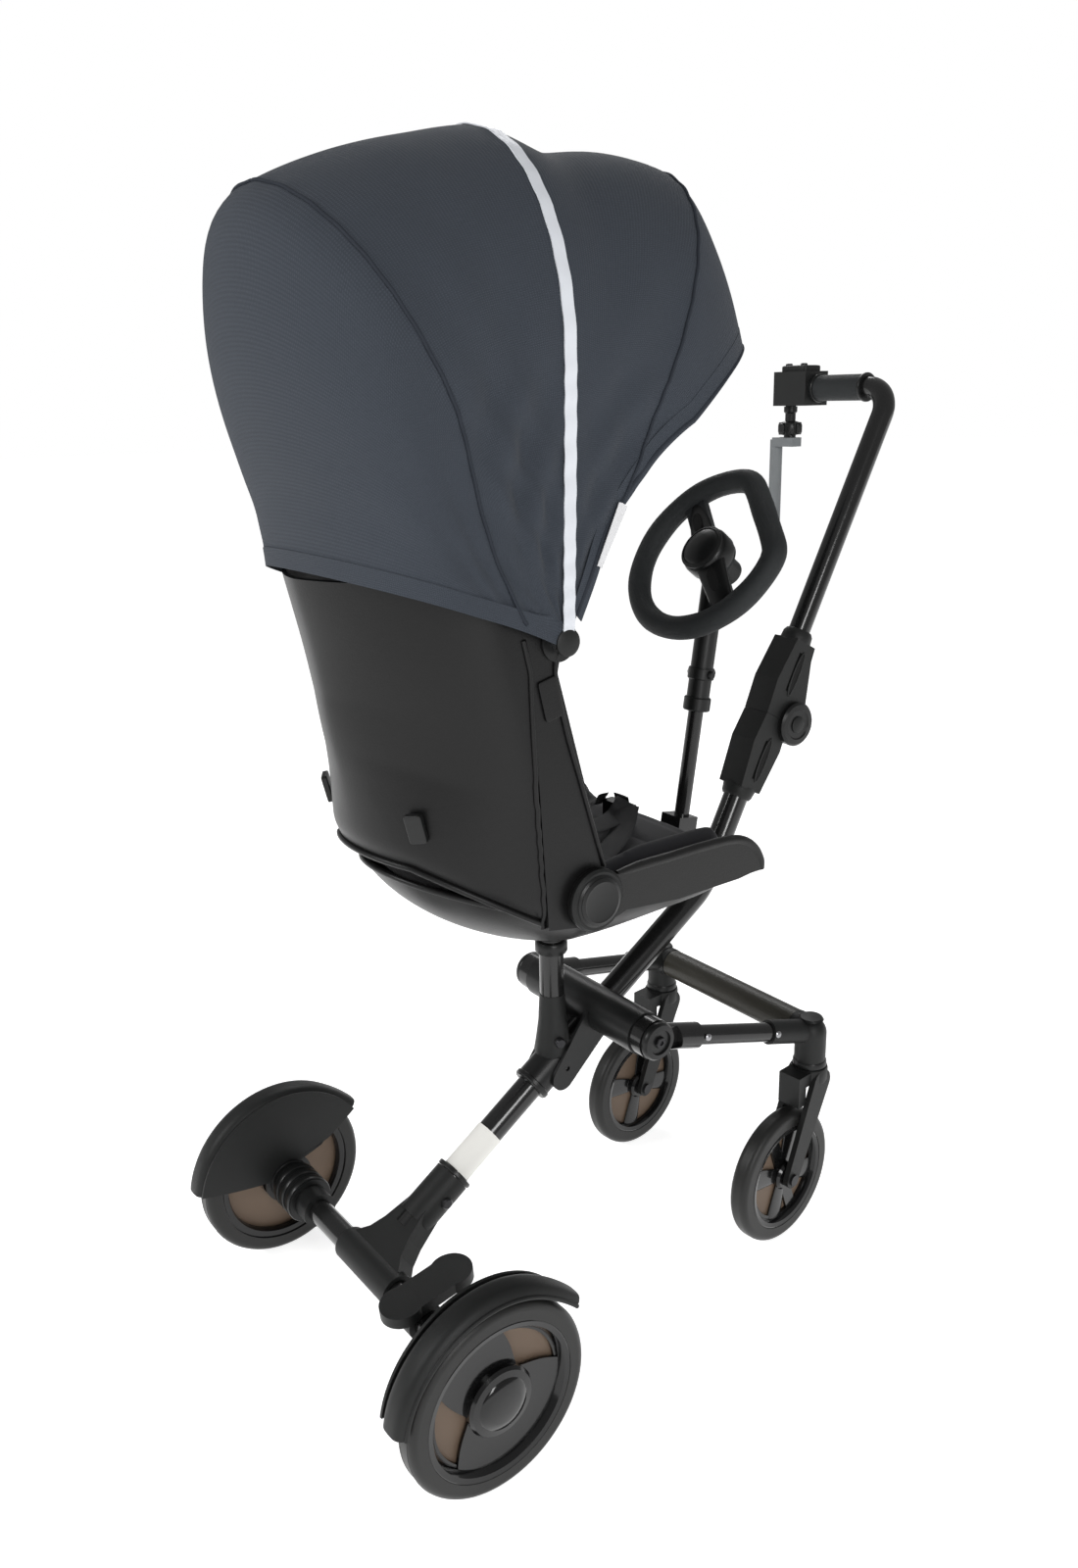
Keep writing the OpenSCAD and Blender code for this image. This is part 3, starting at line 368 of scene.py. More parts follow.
def lip_a(t):
    """The front edge swings from far forward in the middle back to the front bow, as a rounded V."""
    s = np.abs(2 * t - 1) / 0.75
    return 39.8 + 25.6 * np.minimum(1, (np.sqrt(s**2 + 0.02) - 0.1414) / 0.8685)


def seam_a(t):
    """The rear seam leaves the bow low down and runs back to the hem."""
    return np.minimum(117.7 + 260 * np.abs(2 * t - 1) ** 6, hem_a(t))


def always(a):
    """A line that stays at one angle."""
    return lambda t: a + 0 * t


def outward(g):
    """Unit normals of a canopy grid, away from the pivots."""
    f = facing(g)
    return f * np.sign(((g - PIVOT) * f).sum(-1, keepdims=True))


def relief(a, t):
    """How far the cloth stands off its plain form: slack between the bows, creases low down, puckers at the seams.

    Slack is half a sine between two bows, a crease a slanting sine in a bell over t, and a pucker a fine sine in a
    narrow bell over the angle.
    """
    def arch(a0, a1):
        return sin(pi * np.clip((a - a0) / (a1 - a0), 0, 1))

    def bell(a0):
        return np.exp(-((a - a0) / 1.6) ** 2)
    low = np.exp(-((np.minimum(t, 1 - t) - 0.21) / 0.14) ** 2)
    slack = -2.5 * arch(MIDDLE_A, REAR_A) - 1.5 * arch(FRONT_A, MIDDLE_A) - 2.5 * arch(REAR_A, HEM_A)
    lines = 4.6 * sin(0.34 * a + 62 * t) + 2.4 * sin(0.55 * a - 41 * t + 1.0)
    crease = low * (arch(MIDDLE_A, REAR_A + 6) + 0.5 * arch(FRONT_A - 6, MIDDLE_A) + 0.25 * arch(REAR_A,
                                                                                                 HEM_A)) * lines
    near = bell(seam_a(t)) + bell(MIDDLE_A) + bell(FRONT_A)
    return slack + crease + 0.5 * near * sin(230 * t + 3 * sin(17 * t))


def faced(g, about):
    """The grid, its second way turned round if its normals point to that place."""
    return g[:, ::-1] if ((g - about) * facing(g)).sum() < 0 else g


def flat_size(g, o):
    """The grid's run lengths in metres, no smaller than the mesh's area over its two sides, and that area."""
    area = sum(p.area for p in o.data.polygons) / 2
    size = lengths(g).max(0)
    size = size * max(1.0, math.sqrt(area / (size[0] * size[1]) * 1.02))
    return [float(v) for v in size], area


def cloth_panel(name, start, stop, n, node_name, m=190):
    """The cloth between two lines of angles, with its relief, as a sheet with its flat size and area."""
    i, t = np.meshgrid(np.linspace(0, 1, n), np.linspace(LOW_T, 1 - LOW_T, m), indexing="ij")
    a = start(t) + (stop(t) - start(t)) * i
    g = canopy(a, t)
    g = faced(g + outward(g) * relief(a, t)[..., None], PIVOT)
    o = slab(name, g, 1.3, CLOTH, slot="canopy_fabric", replaces=(node_name,))
    return (o, *flat_size(g, o))


def blend_fold(o):
    """The piece's placement is baked into its mesh."""
    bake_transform(o)


def canopy_band(name, line, width, look, body, lift=0.4, thick=1.0, t0=LOW_T, m=190, **more):
    """A flat band of that width in mm sewn over the cloth along the line of angles."""
    t = np.linspace(t0, 1 - t0, m)
    mid = line(t)
    h = np.linalg.norm(canopy(mid, t)[:, 1:] - PIVOT[1:], axis=1)
    half = np.degrees(np.clip(width / 2 / np.maximum(h, width * 0.6), 0, 1))
    g = np.stack([canopy(mid + s * half, t, relief(mid, t)) for s in (-1, 0, 1)])
    if ((g - PIVOT) * facing(g)).sum() < 0:
        g = g[::-1]
    return slab(name, g, thick, look, body, lift=lift, **more)


def welt(name, line, r, body, out=0.6, look=WELT, t0=LOW_T, **more):
    """A corded seam of radius r along the line of angles."""
    t = np.linspace(t0, 1 - t0, 190)
    mid = line(t)
    return tube(name, canopy(mid, t, out + relief(mid, t)), r, look, body, sides=10, hint=(1, 0.01, 0.02), **more)


rear, size_r, area_r = cloth_panel("canopy_back_panel", always(REAR_A), hem_a, 60, "canopy_rear")
mid, size_m, area_m = cloth_panel("canopy_top_panel", always(REAR_A), always(MIDDLE_A), 40, "canopy_middle")
fore, size_f, area_f = cloth_panel("canopy_front_panel", always(MIDDLE_A), lip_a, 60, "canopy_front")
rear_seam = welt("canopy_rear_seam", seam_a, 1.8, None, t0=0.136, slot="canopy_fabric")
front_seam = welt("canopy_front_seam", always(FRONT_A), 1.6, "bow_front", slot="canopy_fabric", t0=0.14)
tape = canopy_band("canopy_tape", always(MIDDLE_A), 13, TAPE, "bow_middle", lift=1.5, thick=1.2)
hem = canopy_band("canopy_rear_hem", lambda t: hem_a(t) - 1.2, 16, CLOTH, "backrest", slot="canopy_fabric")
lip = canopy_band("canopy_front_hem", lambda t: lip_a(t) + 1.2, 17, CLOTH, "bow_front", t0=0.03,
                  slot="canopy_fabric")
lip_cord = welt("canopy_front_piping", lip_a, 2.2, "bow_front", t0=0.03, out=-0.6, slot="canopy_fabric")
tag = slab("canopy_tag", canopy(*np.meshgrid(np.linspace(60.5, 65, 4), np.linspace(0.085, 0.155, 12), indexing="ij")),
           0.8, TAG, "bow_front", lift=-2.6)
blend_fold(rear)
blend_fold(rear_seam)
blend_fold(mid)
blend_fold(fore)

# ---------------------------------------------------------------- backrest
LEAN = math.radians(13.5)
RECLINE = np.array([0, -59.0, 529.0])


def lean(x, v, w):
    """Backrest coordinates: v fore and aft, w up, from the recline axis."""
    x, v, w = np.broadcast_arrays(*(np.asarray(k, float) for k in (x, v, w)))
    return np.stack([x, RECLINE[1] + v * math.cos(LEAN) - w * math.sin(LEAN),
                     RECLINE[2] + v * math.sin(LEAN) + w * math.cos(LEAN)], -1)


def u_line(hw, depth, v0, front, n=90, power=2.0):
    """A half oval, fuller with a higher power, opened to the front by straight legs, as (x, v) at n even steps."""
    k = np.linspace(0, pi, 200)
    x, v = hw * np.sign(cos(k)) * np.abs(cos(k)) ** (2 / power), v0 - depth * sin(k) ** (2 / power)
    keep = v <= front
    x, v = x[keep], v[keep]
    if front > v0:
        x, v = np.r_[hw, x, -hw], np.r_[front, v, front]
    s = np.r_[0, np.cumsum(np.hypot(np.diff(x), np.diff(v)))]
    q = np.linspace(0, s[-1], n)
    return np.interp(q, s, x), np.interp(q, s, v)


RIM_V, RIM_W = [-200, -150, -57], [108, 84, -8]
TOP_V, TOP_W = [-200, -40, -12], [380, 345, 300]


def bucket_form(share):
    """Depth and fullness of the bucket's half oval: deep and round at the rim, flatter towards the top."""
    return np.interp(share, [0, 0.3, 0.6, 1], [134, 124, 116, 113]), np.interp(share, [0, 0.4, 1], [2.05, 1.6, 1.6])


def shell_grid(inset, h, n=90):
    """Rows of the bucket's back at the shares h of its height, from the slanted rim to the top in the canopy."""
    rows = []
    for share in h:
        w_side = -8 + share * 300
        front = np.interp(w_side, [-8, 240, 300], [-57, -12, -12])
        deep, power = bucket_form(share)
        x, v = u_line(146 - inset, deep - inset, -32, front, n, power)
        low, high = np.interp(v, RIM_V, RIM_W), np.interp(v, TOP_V, TOP_W)
        w = low + share * (high - low)
        round_in = 5 * np.exp(-(share / 0.05) ** 2)
        rows.append(lean(x * (1 - round_in / 146), v + round_in * (v < -60), w))
    return np.array(rows)


shares = np.linspace(0, 1, 60)
g = shell_grid(0, shares)
soft = 1.6 * sin(3 * pi * shares)[:, None] * sin(np.linspace(0, 9, 90))[None] * sin(pi * shares)[:, None]
g = faced(g + facing(g) * soft[..., None], lean(0, -40, 150))
slab("bucket_back", g, 4.5, SKIN, "backrest", slot="shell_leather", replaces=("back_shell",))
tube("bucket_piping", shell_grid(-1, [0.0])[0], 3.0, SKIN, "backrest", slot="shell_leather", hint=(0.1, 0, 1))
for s, name in ((0, "l"), (-1, "r")):
    line = shell_grid(-0.6, np.linspace(0, 0.93, 40))[:, s]
    tube(f"bucket_seam_{name}", line, 1.9, SKIN, "backrest", slot="shell_leather", hint=(0, 1, 0.2), flat=1.4)
    x = 147.2 if s == 0 else -147.2
    block(f"flange_patch_{name}", lean(x, 3, 215), (1.4, 11, 20), SKIN, "backrest", 0.2, (13.5, 0, 0))
    path = [lean(x * 0.998, v, w) for v, w in ((22, 26), (16, 120), (12, 180), (14, 236), (26, 262))]
    tube(f"flange_piping_{name}", smooth_line(path), 2.2, SKIN, "backrest", slot="shell_leather", hint=(1, 0, 0))
for x in (87, -87):
    deep, power = bucket_form(0.12)
    v = -32 - deep * (1 - (abs(x) / 146) ** power) ** (1 / power)
    across, along = (abs(x) / 146) ** (power - 1) / 146, ((-v - 32) / deep) ** (power - 1) / deep
    turn = math.degrees(math.atan2(math.copysign(across, x), along))
    place = Matrix.Rotation(LEAN, 3, "X") @ Matrix.Rotation(math.radians(turn), 3, "Z")
    block(f"back_clip_{'l' if x > 0 else 'r'}", lean(x, v - 2, 128), (9, 3.2, 15), SATIN, "backrest", 0.2,
          tuple(math.degrees(a) for a in place.to_euler()))


def quilt(o, strength=4.0, cap=0.007, skip=False):
    """Sewn cushions: the closed form is remeshed, puffed up by cloth pressure for twenty frames and held to a cap."""
    m = o.modifiers.new("remesh", "REMESH")
    m.mode, m.voxel_size = "VOXEL", 0.0055
    bpy.context.view_layer.objects.active = o
    bpy.ops.object.modifier_apply(modifier=m.name)
    rest = np.zeros(len(o.data.vertices) * 3)
    o.data.vertices.foreach_get("co", rest)
    c = o.modifiers.new("cloth", "CLOTH")
    c.settings.use_pressure, c.settings.uniform_pressure_force = True, strength
    c.settings.effector_weights.gravity = 0
    c.settings.mass = 0.3
    for f in range(1, 21):
        bpy.context.scene.frame_set(f)
    dg = bpy.context.evaluated_depsgraph_get()
    new = np.zeros(len(rest))
    o.evaluated_get(dg).data.vertices.foreach_get("co", new)
    o.modifiers.remove(c)
    bpy.context.scene.frame_set(1)
    d = (new - rest).reshape(-1, 3)
    far = np.linalg.norm(d, axis=1, keepdims=True)
    d *= np.minimum(1, cap / np.maximum(far, 1e-9))
    o.data.vertices.foreach_set("co", (rest.reshape(-1, 3) + d).ravel())
    o.data.update()
    m = o.modifiers.new("smooth", "SUBSURF")
    m.levels = m.render_levels = 1
    bpy.context.view_layer.objects.active = o
    bpy.ops.object.modifier_apply(modifier=m.name)
    o.data.polygons.foreach_set("use_smooth", [True] * len(o.data.polygons))
    if "sharp_edge" in o.data.attributes:
        o.data.attributes.remove(o.data.attributes["sharp_edge"])
    return o


def back_pad():
    """A padded lining in the bucket: the half oval's inside, thicker between its sewn channels, thin at its edges."""
    hs, n = np.linspace(0, 1, 40), 61
    outer, inner = [], []
    for h in hs:
        w_side = 62 + 215 * h
        front = np.interp(w_side, [60, 240, 300], [-22, -14, -16])
        deep, power = bucket_form((w_side + 8) / 300)
        x, v = u_line(134, deep - 12, -32, front, n, power)
        w = np.interp(v, [-160, -60, -10], [70, 108, 112]) * (1 - h) + np.interp(v, [-160, -40, -10],
                                                                                 [330, 315, 272]) * h
        s = np.linspace(0, 1, n)
        thick = (deep - 108) * (sin(pi * np.clip(h, 0.0, 1)) ** 0.35) * (sin(pi * s) ** 0.3) + 3
        channel = sum(0.34 * np.exp(-(((s * 5) % 1 - edge) / 0.10) ** 2) for edge in (0, 1))
        thick = thick * (1 - channel)
        xi, vi = x * (1 - thick / 150), v + thick * np.clip((-32 - v) / 120, 0, 1)
        outer.append(lean(x, v, w))
        inner.append(lean(xi, vi, w))
    a, b = np.array(outer), np.array(inner)
    ring = np.concatenate([a, b[:, ::-1]], axis=1)
    m = ring.shape[1]
    faces = quads(len(hs), m, False, True)
    faces += [(i, i + 1, m - 2 - i, m - 1 - i) for i in range(n - 1)]
    faces += [tuple((len(hs) - 1) * m + k for k in (m - 1 - i, m - 2 - i, i + 1, i)) for i in range(n - 1)]
    uv = lengths(a).reshape(len(hs), n, 2)
    uv = np.concatenate([uv, uv[:, ::-1]], 1).reshape(-1, 2)
    return build("back_padding", ring, faces, PAD, "backrest", uv=uv, slot="pad_fabric", replaces=("back_cushion",))


pad = quilt(back_pad(), 3.0, 0.004)
for s, name in ((1, "l"), (-1, "r")):
    path = [lean(s * x, v, w) for x, v, w in ((34, -119, 306), (36, -117, 250), (38, -116, 190), (44, -108, 140))]
    path += [np.array([s * 48, -78, 606]), np.array([s * 42, 0, 560]), np.array([s * 26, 70, 552]),
             np.array([s * 17, 98, 564])]
    strap = tube(f"harness_strap_{name}", smooth_line(path, 90), 12.5, WEB, hint=(0, 1, 1), flat=0.07, sides=16,
                 slot="webbing")
    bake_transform(strap)
    sleeve = tube(f"shoulder_pad_{name}", smooth_line([p + [0, 2, 0] for p in path[:4]], 40), 24, PAD, "backrest",
                  hint=(0, 1, 0.2), flat=0.2, sides=24, slot="pad_fabric")
    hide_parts("shoulder_straps")

# ---------------------------------------------------------------- seat
def rim_ring(inset, n=120):
    """The tub's rim: a slanted half oval behind the recline axis and rounded front corners, as one closed line."""
    k = np.linspace(0, pi, 61)
    tilt = math.radians(18.5)
    v = -(163 - inset) * sin(k)
    rear_part = np.stack([(137 - inset) * cos(k), -62 + v * math.cos(tilt), 503 - v * math.sin(tilt)], -1)
    r, cx, cy = 34 - inset, 103, 144

    def corner(sx, a0, a1):
        return [[sx * cx + r * math.cos(a), cy + r * math.sin(a), 499] for a in np.linspace(a0, a1, 9)]
    front_part = np.array(corner(-1, pi, pi / 2) + corner(1, pi / 2, 0))
    p = np.concatenate([rear_part, front_part, rear_part[:1]])
    s = np.r_[0, np.cumsum(np.linalg.norm(np.diff(p, axis=0), axis=1))]
    q = np.linspace(0, s[-1], n, endpoint=False)
    return np.stack([np.interp(q, s, p[:, i]) for i in range(3)], -1)


def tub(inset, low):
    """Rows from the round foot to the rim: half way between a straight line and a quarter ellipse."""
    ring = rim_ring(inset)
    ang = np.arctan2(ring[:, 1] - 10, ring[:, 0])
    foot = np.stack([(46 - inset) * cos(ang), (46 - inset) * sin(ang), np.full(len(ang), low)], -1)
    h = np.linspace(0, 1, 34)[:, None, None]
    out, rise = 0.5 * (h + sin(0.5 * pi * h)), 0.5 * (h + 1 - cos(0.5 * pi * h) ** 0.95)
    g = np.empty((34, len(ring), 3))
    g[..., :2] = (foot[None] + (ring - foot)[None] * out)[..., :2]
    g[..., 2] = (foot[None] + (ring - foot)[None] * rise)[..., 2]
    return g


outer, inner = tub(0, 440.6), tub(4, 445)[::-1]
g = np.concatenate([outer, inner])
m = g.shape[1]
k = len(g) * m
faces = quads(len(g), m, False, True) + [tuple(range(m)), tuple(range(k - m, k))[::-1]]
build("seat_tub_skin", g, faces, SKIN, "seat", slot="shell_leather", replaces=("seat_tub",))
tube("tub_rim", rim_ring(-0.5), 3.2, SKIN, "seat", closed=True, slot="shell_leather", hint=(0.02, 0.01, 1))


def seat_pad():
    """The seat cushion: a crowned slab with side bolsters that rise to the front, one sunk seam either side."""
    nx, ny = 70, 60
    u, w = np.meshgrid(np.linspace(-1, 1, nx), np.linspace(0, 1, ny), indexing="ij")
    y = -58 + 226 * w
    half = 128 - 26 * np.clip((w - 0.8) / 0.2, 0, 1) ** 2
    x = half * np.sign(u) * np.abs(u) ** 0.92
    fall = (1 - np.abs(u) ** 14) ** 0.5 * (1 - np.abs(2 * w - 1) ** 16) ** 0.5
    crown = 6 * (1 - u**2) * sin(pi * w)
    bolster = np.exp(-((np.abs(x) - 114) / 13.0) ** 2) * np.interp(w, [0, 0.1, 0.4, 0.85, 1], [4, 20, 34, 34, 12])
    seam = 5 * np.exp(-((np.abs(x) - 93) / 3.5) ** 2)
    channels = 2.6 * np.exp(-((((w * 4) % 1) - 0.5) / 0.07) ** 2) * (np.abs(x) < 88)
    top = 500.5 + fall * (25 + crown + bolster - seam - channels)
    top_g, low_g = np.stack([x, y, top], -1), np.stack([x, y, np.full_like(x, 499.3)], -1)
    uv = lengths(top_g)
    return build("seat_padding", np.concatenate([top_g.reshape(-1, 3), low_g.reshape(-1, 3)]), two_sided(nx, ny), PAD,
                 "seat", uv=np.concatenate([uv, uv]), slot="pad_fabric", replaces=("seat_cushion",))


seat = quilt(seat_pad(), 3.0, 0.004)


def liner_row(h, n=60):
    """Fabric between the seat pad's back edge and the padding in the bucket, one row at the share h."""
    k = np.linspace(0.04 * pi, 0.96 * pi, n)
    low = np.stack([118 * cos(k), -52 - 60 * sin(k), np.full(n, 512.0)], -1)
    v = -32 - 112 * sin(k)
    high = lean(124 * cos(k), v, np.interp(v, [-160, -60, -10], [84, 116, 120]))
    p = low * (1 - h) + high * h
    p[:, 1] -= 16 * sin(pi * h) * sin(k)
    p[:, 2] -= 14 * sin(pi * h) * sin(k)
    return p


g = np.array([liner_row(h) for h in np.linspace(0, 1, 26)])
liner = slab("seat_liner", g, 1.6, PAD, slot="pad_fabric")
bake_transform(liner)
for s, name in ((1, "l"), (-1, "r")):
    path = smooth_line([[s * 100, -30, 545], [s * 82, 10, 540], [s * 48, 64, 545], [s * 20, 98, 560]])
    tube(f"lap_strap_{name}", path, 12.5, WEB, "seat", hint=(0, 0.2, 1), flat=0.07, sides=16, slot="webbing")
tube("crotch_strap", smooth_line([[0, 128, 524], [0, 116, 534], [0, 108, 552], [0, 104, 566]]), 13, WEB, "seat",
     hint=(0, 1, 0.2), flat=0.08, sides=16, slot="webbing")

# ---------------------------------------------------------------- wheels
AXLE = np.array([0, -250.0, 100.0])
TURN = math.radians(5.5)
CASTOR_X, CASTOR_Y = np.array([math.cos(TURN), math.sin(TURN), 0]), np.array([-math.sin(TURN), math.cos(TURN), 0])


def turned(s, p):
    """A point of a castor, carried round its stem to where the castor stands."""
    d = np.array(p, float) - [s * 134, 293, 0]
    return np.array([s * 134, 293, 0]) + d[0] * CASTOR_X + d[1] * CASTOR_Y + [0, 0, d[2]]


for s, name in ((1, "l"), (-1, "r")):
    wheel, out = f"main_wheel_{name}", (s, 0, 0)
    centre = AXLE + [s * 228, 0, 0]
    ring = [(84, 8), (84.5, 12.2), (81, 14.3), (76, 13.2), (72.5, 8.5), (71, 3), (75, 2.5), (77, 7), (84, 8)]
    lathe(f"main_rim_ring_{name}", ring, centre, out, GLOSS, wheel, 96, slot="rim_gloss")
    dome = [(35, 6), (36, 12.5), (33.5, 15.5), (27, 16.6), (25.5, 18.4), (17, 20.6), (8, 21.6), (0.01, 21.8)]
    lathe(f"main_hub_dome_{name}", [(0.01, 6), *dome], centre, out, GLOSS, wheel, 72, slot="rim_gloss")
    for k, (a0, a1) in enumerate(((45, 190), (190, 405))):
        r, u = np.meshgrid(np.linspace(27, 77, 14), np.linspace(0, 1, 60), indexing="ij")
        clear = 42 * np.clip((r - 34) / 43, 0, 1) ** 0.55
        a = np.radians(a0 + clear + (a1 - a0 - 2 * clear) * u)
        x = s * 228 + s * (6.5 + 2.5 * ((r - 27) / 50 - 0.5) ** 2)
        slab(f"main_spoke_{name}_{k}", np.stack([x, AXLE[1] + r * cos(a), AXLE[2] + r * sin(a)], -1)[:, ::s], 2.2,
             GLOSS, wheel, slot="rim_gloss")
    inner_ring = [(80, -13.2), (74, -12.6), (72, -9), (72, -5), (76, -5), (80, -8), (80, -13.2)]
    lathe(f"main_rim_back_{name}", inner_ring, centre, out, GLOSS, wheel, 96, slot="rim_gloss")
    lathe(f"main_hub_back_{name}", [(0.01, -6), (27, -6), (27, -11), (22, -13.4), (0.01, -13.6)], centre, out,
          GLOSS, wheel)
    for t, off in enumerate((-6.5, 6.5)):
        groove = [(99.6, off - 1), (100.15, off - 0.7), (100.15, off + 0.7), (99.6, off + 1), (99.6, off - 1)]
        lathe(f"main_tyre_line_{name}_{t}", groove, centre, out, TYRE, wheel, 96, slot="tyre_rubber")
    # fender: a crowned band that flares at its front tip, rolled edges, a half-disc cheek inside and a hub boss
    w = np.radians(np.linspace(33, 171, 70))
    flare = 7 * np.clip((np.radians(60) - w) / np.radians(31), 0, 1) ** 2

    def arc(r, x):
        return np.stack([0 * w + s * x, AXLE[1] + (r + flare) * cos(w), AXLE[2] + (r + flare) * sin(w)], -1)

    band = np.array([arc(112.6 - 9 * abs(u) ** 5 + 1.6 * (1 - u * u), 225 + 17 * u) for u in np.linspace(-1, 1, 15)])
    slab(f"fender_band_{name}", faced(band, AXLE), 3, CASTING, "chassis", slot="casting",
         replaces=(f"fender_{name}",))
    tube(f"fender_lip_{name}", arc(104.4, 241.2), 2.2, CASTING, "chassis", slot="casting", hint=(1, 0, 0))
    u, a = np.meshgrid(np.linspace(0, 1, 20), np.linspace(33, 170, 60), indexing="ij")
    chord = np.clip(12 / np.maximum(sin(np.radians(a - 20)), 0.05), 0, 110)
    r = chord + (110.5 - chord) * u
    a = np.radians(a)
    bulge = 2.5 * sin(pi * np.clip((r - 20) / 95, 0, 1)) + 2 * np.exp(-((r - chord) / 5) ** 2)
    cheek = np.stack([s * (208 - bulge), AXLE[1] + r * cos(a), AXLE[2] + r * sin(a)], -1)
    slab(f"fender_cheek_{name}", cheek if s > 0 else cheek[:, ::-1], 3, CASTING, "chassis", slot="casting")
    lathe(f"fender_boss_{name}", [(0.01, 0), (30, 0), (30, -3), (25, -4), (24, -7), (20, -9), (0.01, -9)],
          AXLE + [s * 209, 0, 0], out, SATIN, "chassis")
    # castor wheels
    wheel, centre = f"castor_wheel_{name}", turned(s, [s * 134, 240, 84])
    for side_x in (1, -1):
        tag_name = f"{name}_{'out' if side_x > 0 else 'in'}"
        out = s * side_x * CASTOR_X
        ring = [(67.5, 6), (67.8, 10.6), (64, 12.6), (59.5, 11.4), (57, 7), (56.5, 3), (60, 3), (61, 6), (67.5, 6)]
        lathe(f"castor_rim_ring_{tag_name}", ring, centre, out, GLOSS, wheel, 80, slot="rim_gloss")
        lathe(f"castor_hub_{tag_name}", [(0.01, 4), (17, 4), (17.5, 9), (15, 12.2), (0.01, 12.4)], centre, out,
              GLOSS, wheel)
        for k, a in enumerate((75, 165, 255, 345)):
            q = math.radians(a)
            d = math.cos(q) * CASTOR_Y + math.sin(q) * np.array([0, 0, 1])
            path = [centre + out * 4.5 + d * z for z in (14, 34, 60)]
            tube(f"castor_spoke_{tag_name}_{k}", smooth_line(path, 10), np.linspace(9, 14, 10), GLOSS, wheel,
                 flat=0.12, hint=out, sides=20, slot="rim_gloss")
    lathe(f"castor_disc_{name}", [(0.01, -1.5), (59, -1.5), (59, 1.5), (0.01, 1.5)], centre, CASTOR_X, BROWN, wheel,
          slot="insert_brown")
    # castor fork: crown ring
    top = np.array([s * 134, 293, 214.0])
    lathe(f"castor_crown_{name}", [(0.01, -1), (21.6, -1), (22.4, -4), (22.4, -17), (20.6, -20.4), (0.01, -20.4)],
          top, (0, 0, 1), CASTING, f"castor_{name}", slot="casting")
    lathe(f"castor_housing_ring_{name}", [(0.01, 6), (19.4, 6), (20.4, 4), (20.4, -1), (0.01, -1)],
          np.array([s * 134, 293, 216.0]), (0, 0, 1), SATIN, "castor_frame")
    lathe(f"castor_housing_cap_{name}", [(0.01, 0), (15, 0), (13, 2.6), (0.01, 3.2)], np.array([s * 134, 293, 274.5]),
          (0, 0, 1), SATIN, "castor_frame")
    for k, t in enumerate((0.30, 0.74)):
        p = np.array([104 + (132 - 104) * t, 57 + 236 * t, 318 - 61 * t])
        d = np.array([0.966, -0.11, 0.22])
        r = 15 if t < 0.5 else 14.5
        lathe(f"arm_rivet_{name}_{k}", [(0.01, r - 1), (4, r - 1), (4, r + 0.4), (2.6, r + 1.5), (0.01, r + 1.7)],
              p * [s, 1, 1], d * [s, 1, 1], STEEL, "castor_frame", 24)
    # hub end caps with a bolt head
    hub_end = np.array([s * 113, 57, 318.0])
    lathe(f"hub_cap_{name}", [(0.01, 0), (21, 0), (22, 2), (22, 6), (20, 9), (14.5, 9.6), (13.5, 7), (0.01, 7)],
          hub_end, (s, 0, 0), SATIN, "chassis")
    lathe(f"hub_bolt_{name}", [(0.01, 6), (7, 6), (7, 10), (6, 11), (3, 11), (2.6, 9.4), (0.01, 9.4)], hub_end,
          (s, 0, 0), DARK_STEEL, "chassis", 6)
    # housings on the axle: a raised band
    for k, x in enumerate((151, 166, 181)):
        lathe(f"axle_band_{name}_{k}", [(0.01, 0), (27, 0), (27.8, 1.5), (27.8, 8), (27, 9.5), (0.01, 9.5)],
              AXLE + [s * x, 0, 0], (s, 0, 0), SATIN, "chassis")
    # seat arms: rolled top pads over the plain arms
    path = [(-30, 548), (0, 549.5), (40, 549), (90, 549), (128, 547), (150, 541), (166, 529), (175, 514), (177, 503)]
    path = smooth_line([[s * 150.3, y, z] for y, z in path], 60)
    tube(f"arm_pad_{name}", path, np.r_[np.linspace(3.5, 5.4, 8), np.full(44, 5.4), np.linspace(5.4, 4.4, 8)],
         ARM_SKIN, "seat", hint=(0, 0, 1), flat=1.0, slot="shell_leather", sides=18)
    lathe(f"recline_ring_{name}", [(0.01, -3), (31.5, -3), (32.6, -1), (32.6, 2), (30, 4.5), (0.01, 4.5)],
          np.array([s * 154, -59, 529.0]), (s, 0, 0), CASTING, "seat")
    lathe(f"recline_disc_{name}", [(0.01, 4), (25, 4), (24.6, 7.6), (21, 9), (19, 8.3), (0.01, 8.2)],
          np.array([s * 154, -59, 529.0]), (s, 0, 0), SATIN, "seat")
    # canopy pivots
    lathe(f"canopy_pivot_cap_{name}", [(0.01, -2), (13, -2), (13, 1), (10, 2.8), (0.01, 3)],
          PIVOT + [s * 160.7, 0, 0], (s, 0, 0), CASTING, "backrest")

# ---------------------------------------------------------------- spine and seat post
def spine(s):
    k = math.radians(33.4)
    return np.array([0, -250 + s * math.cos(k), 100 + s * math.sin(k)])


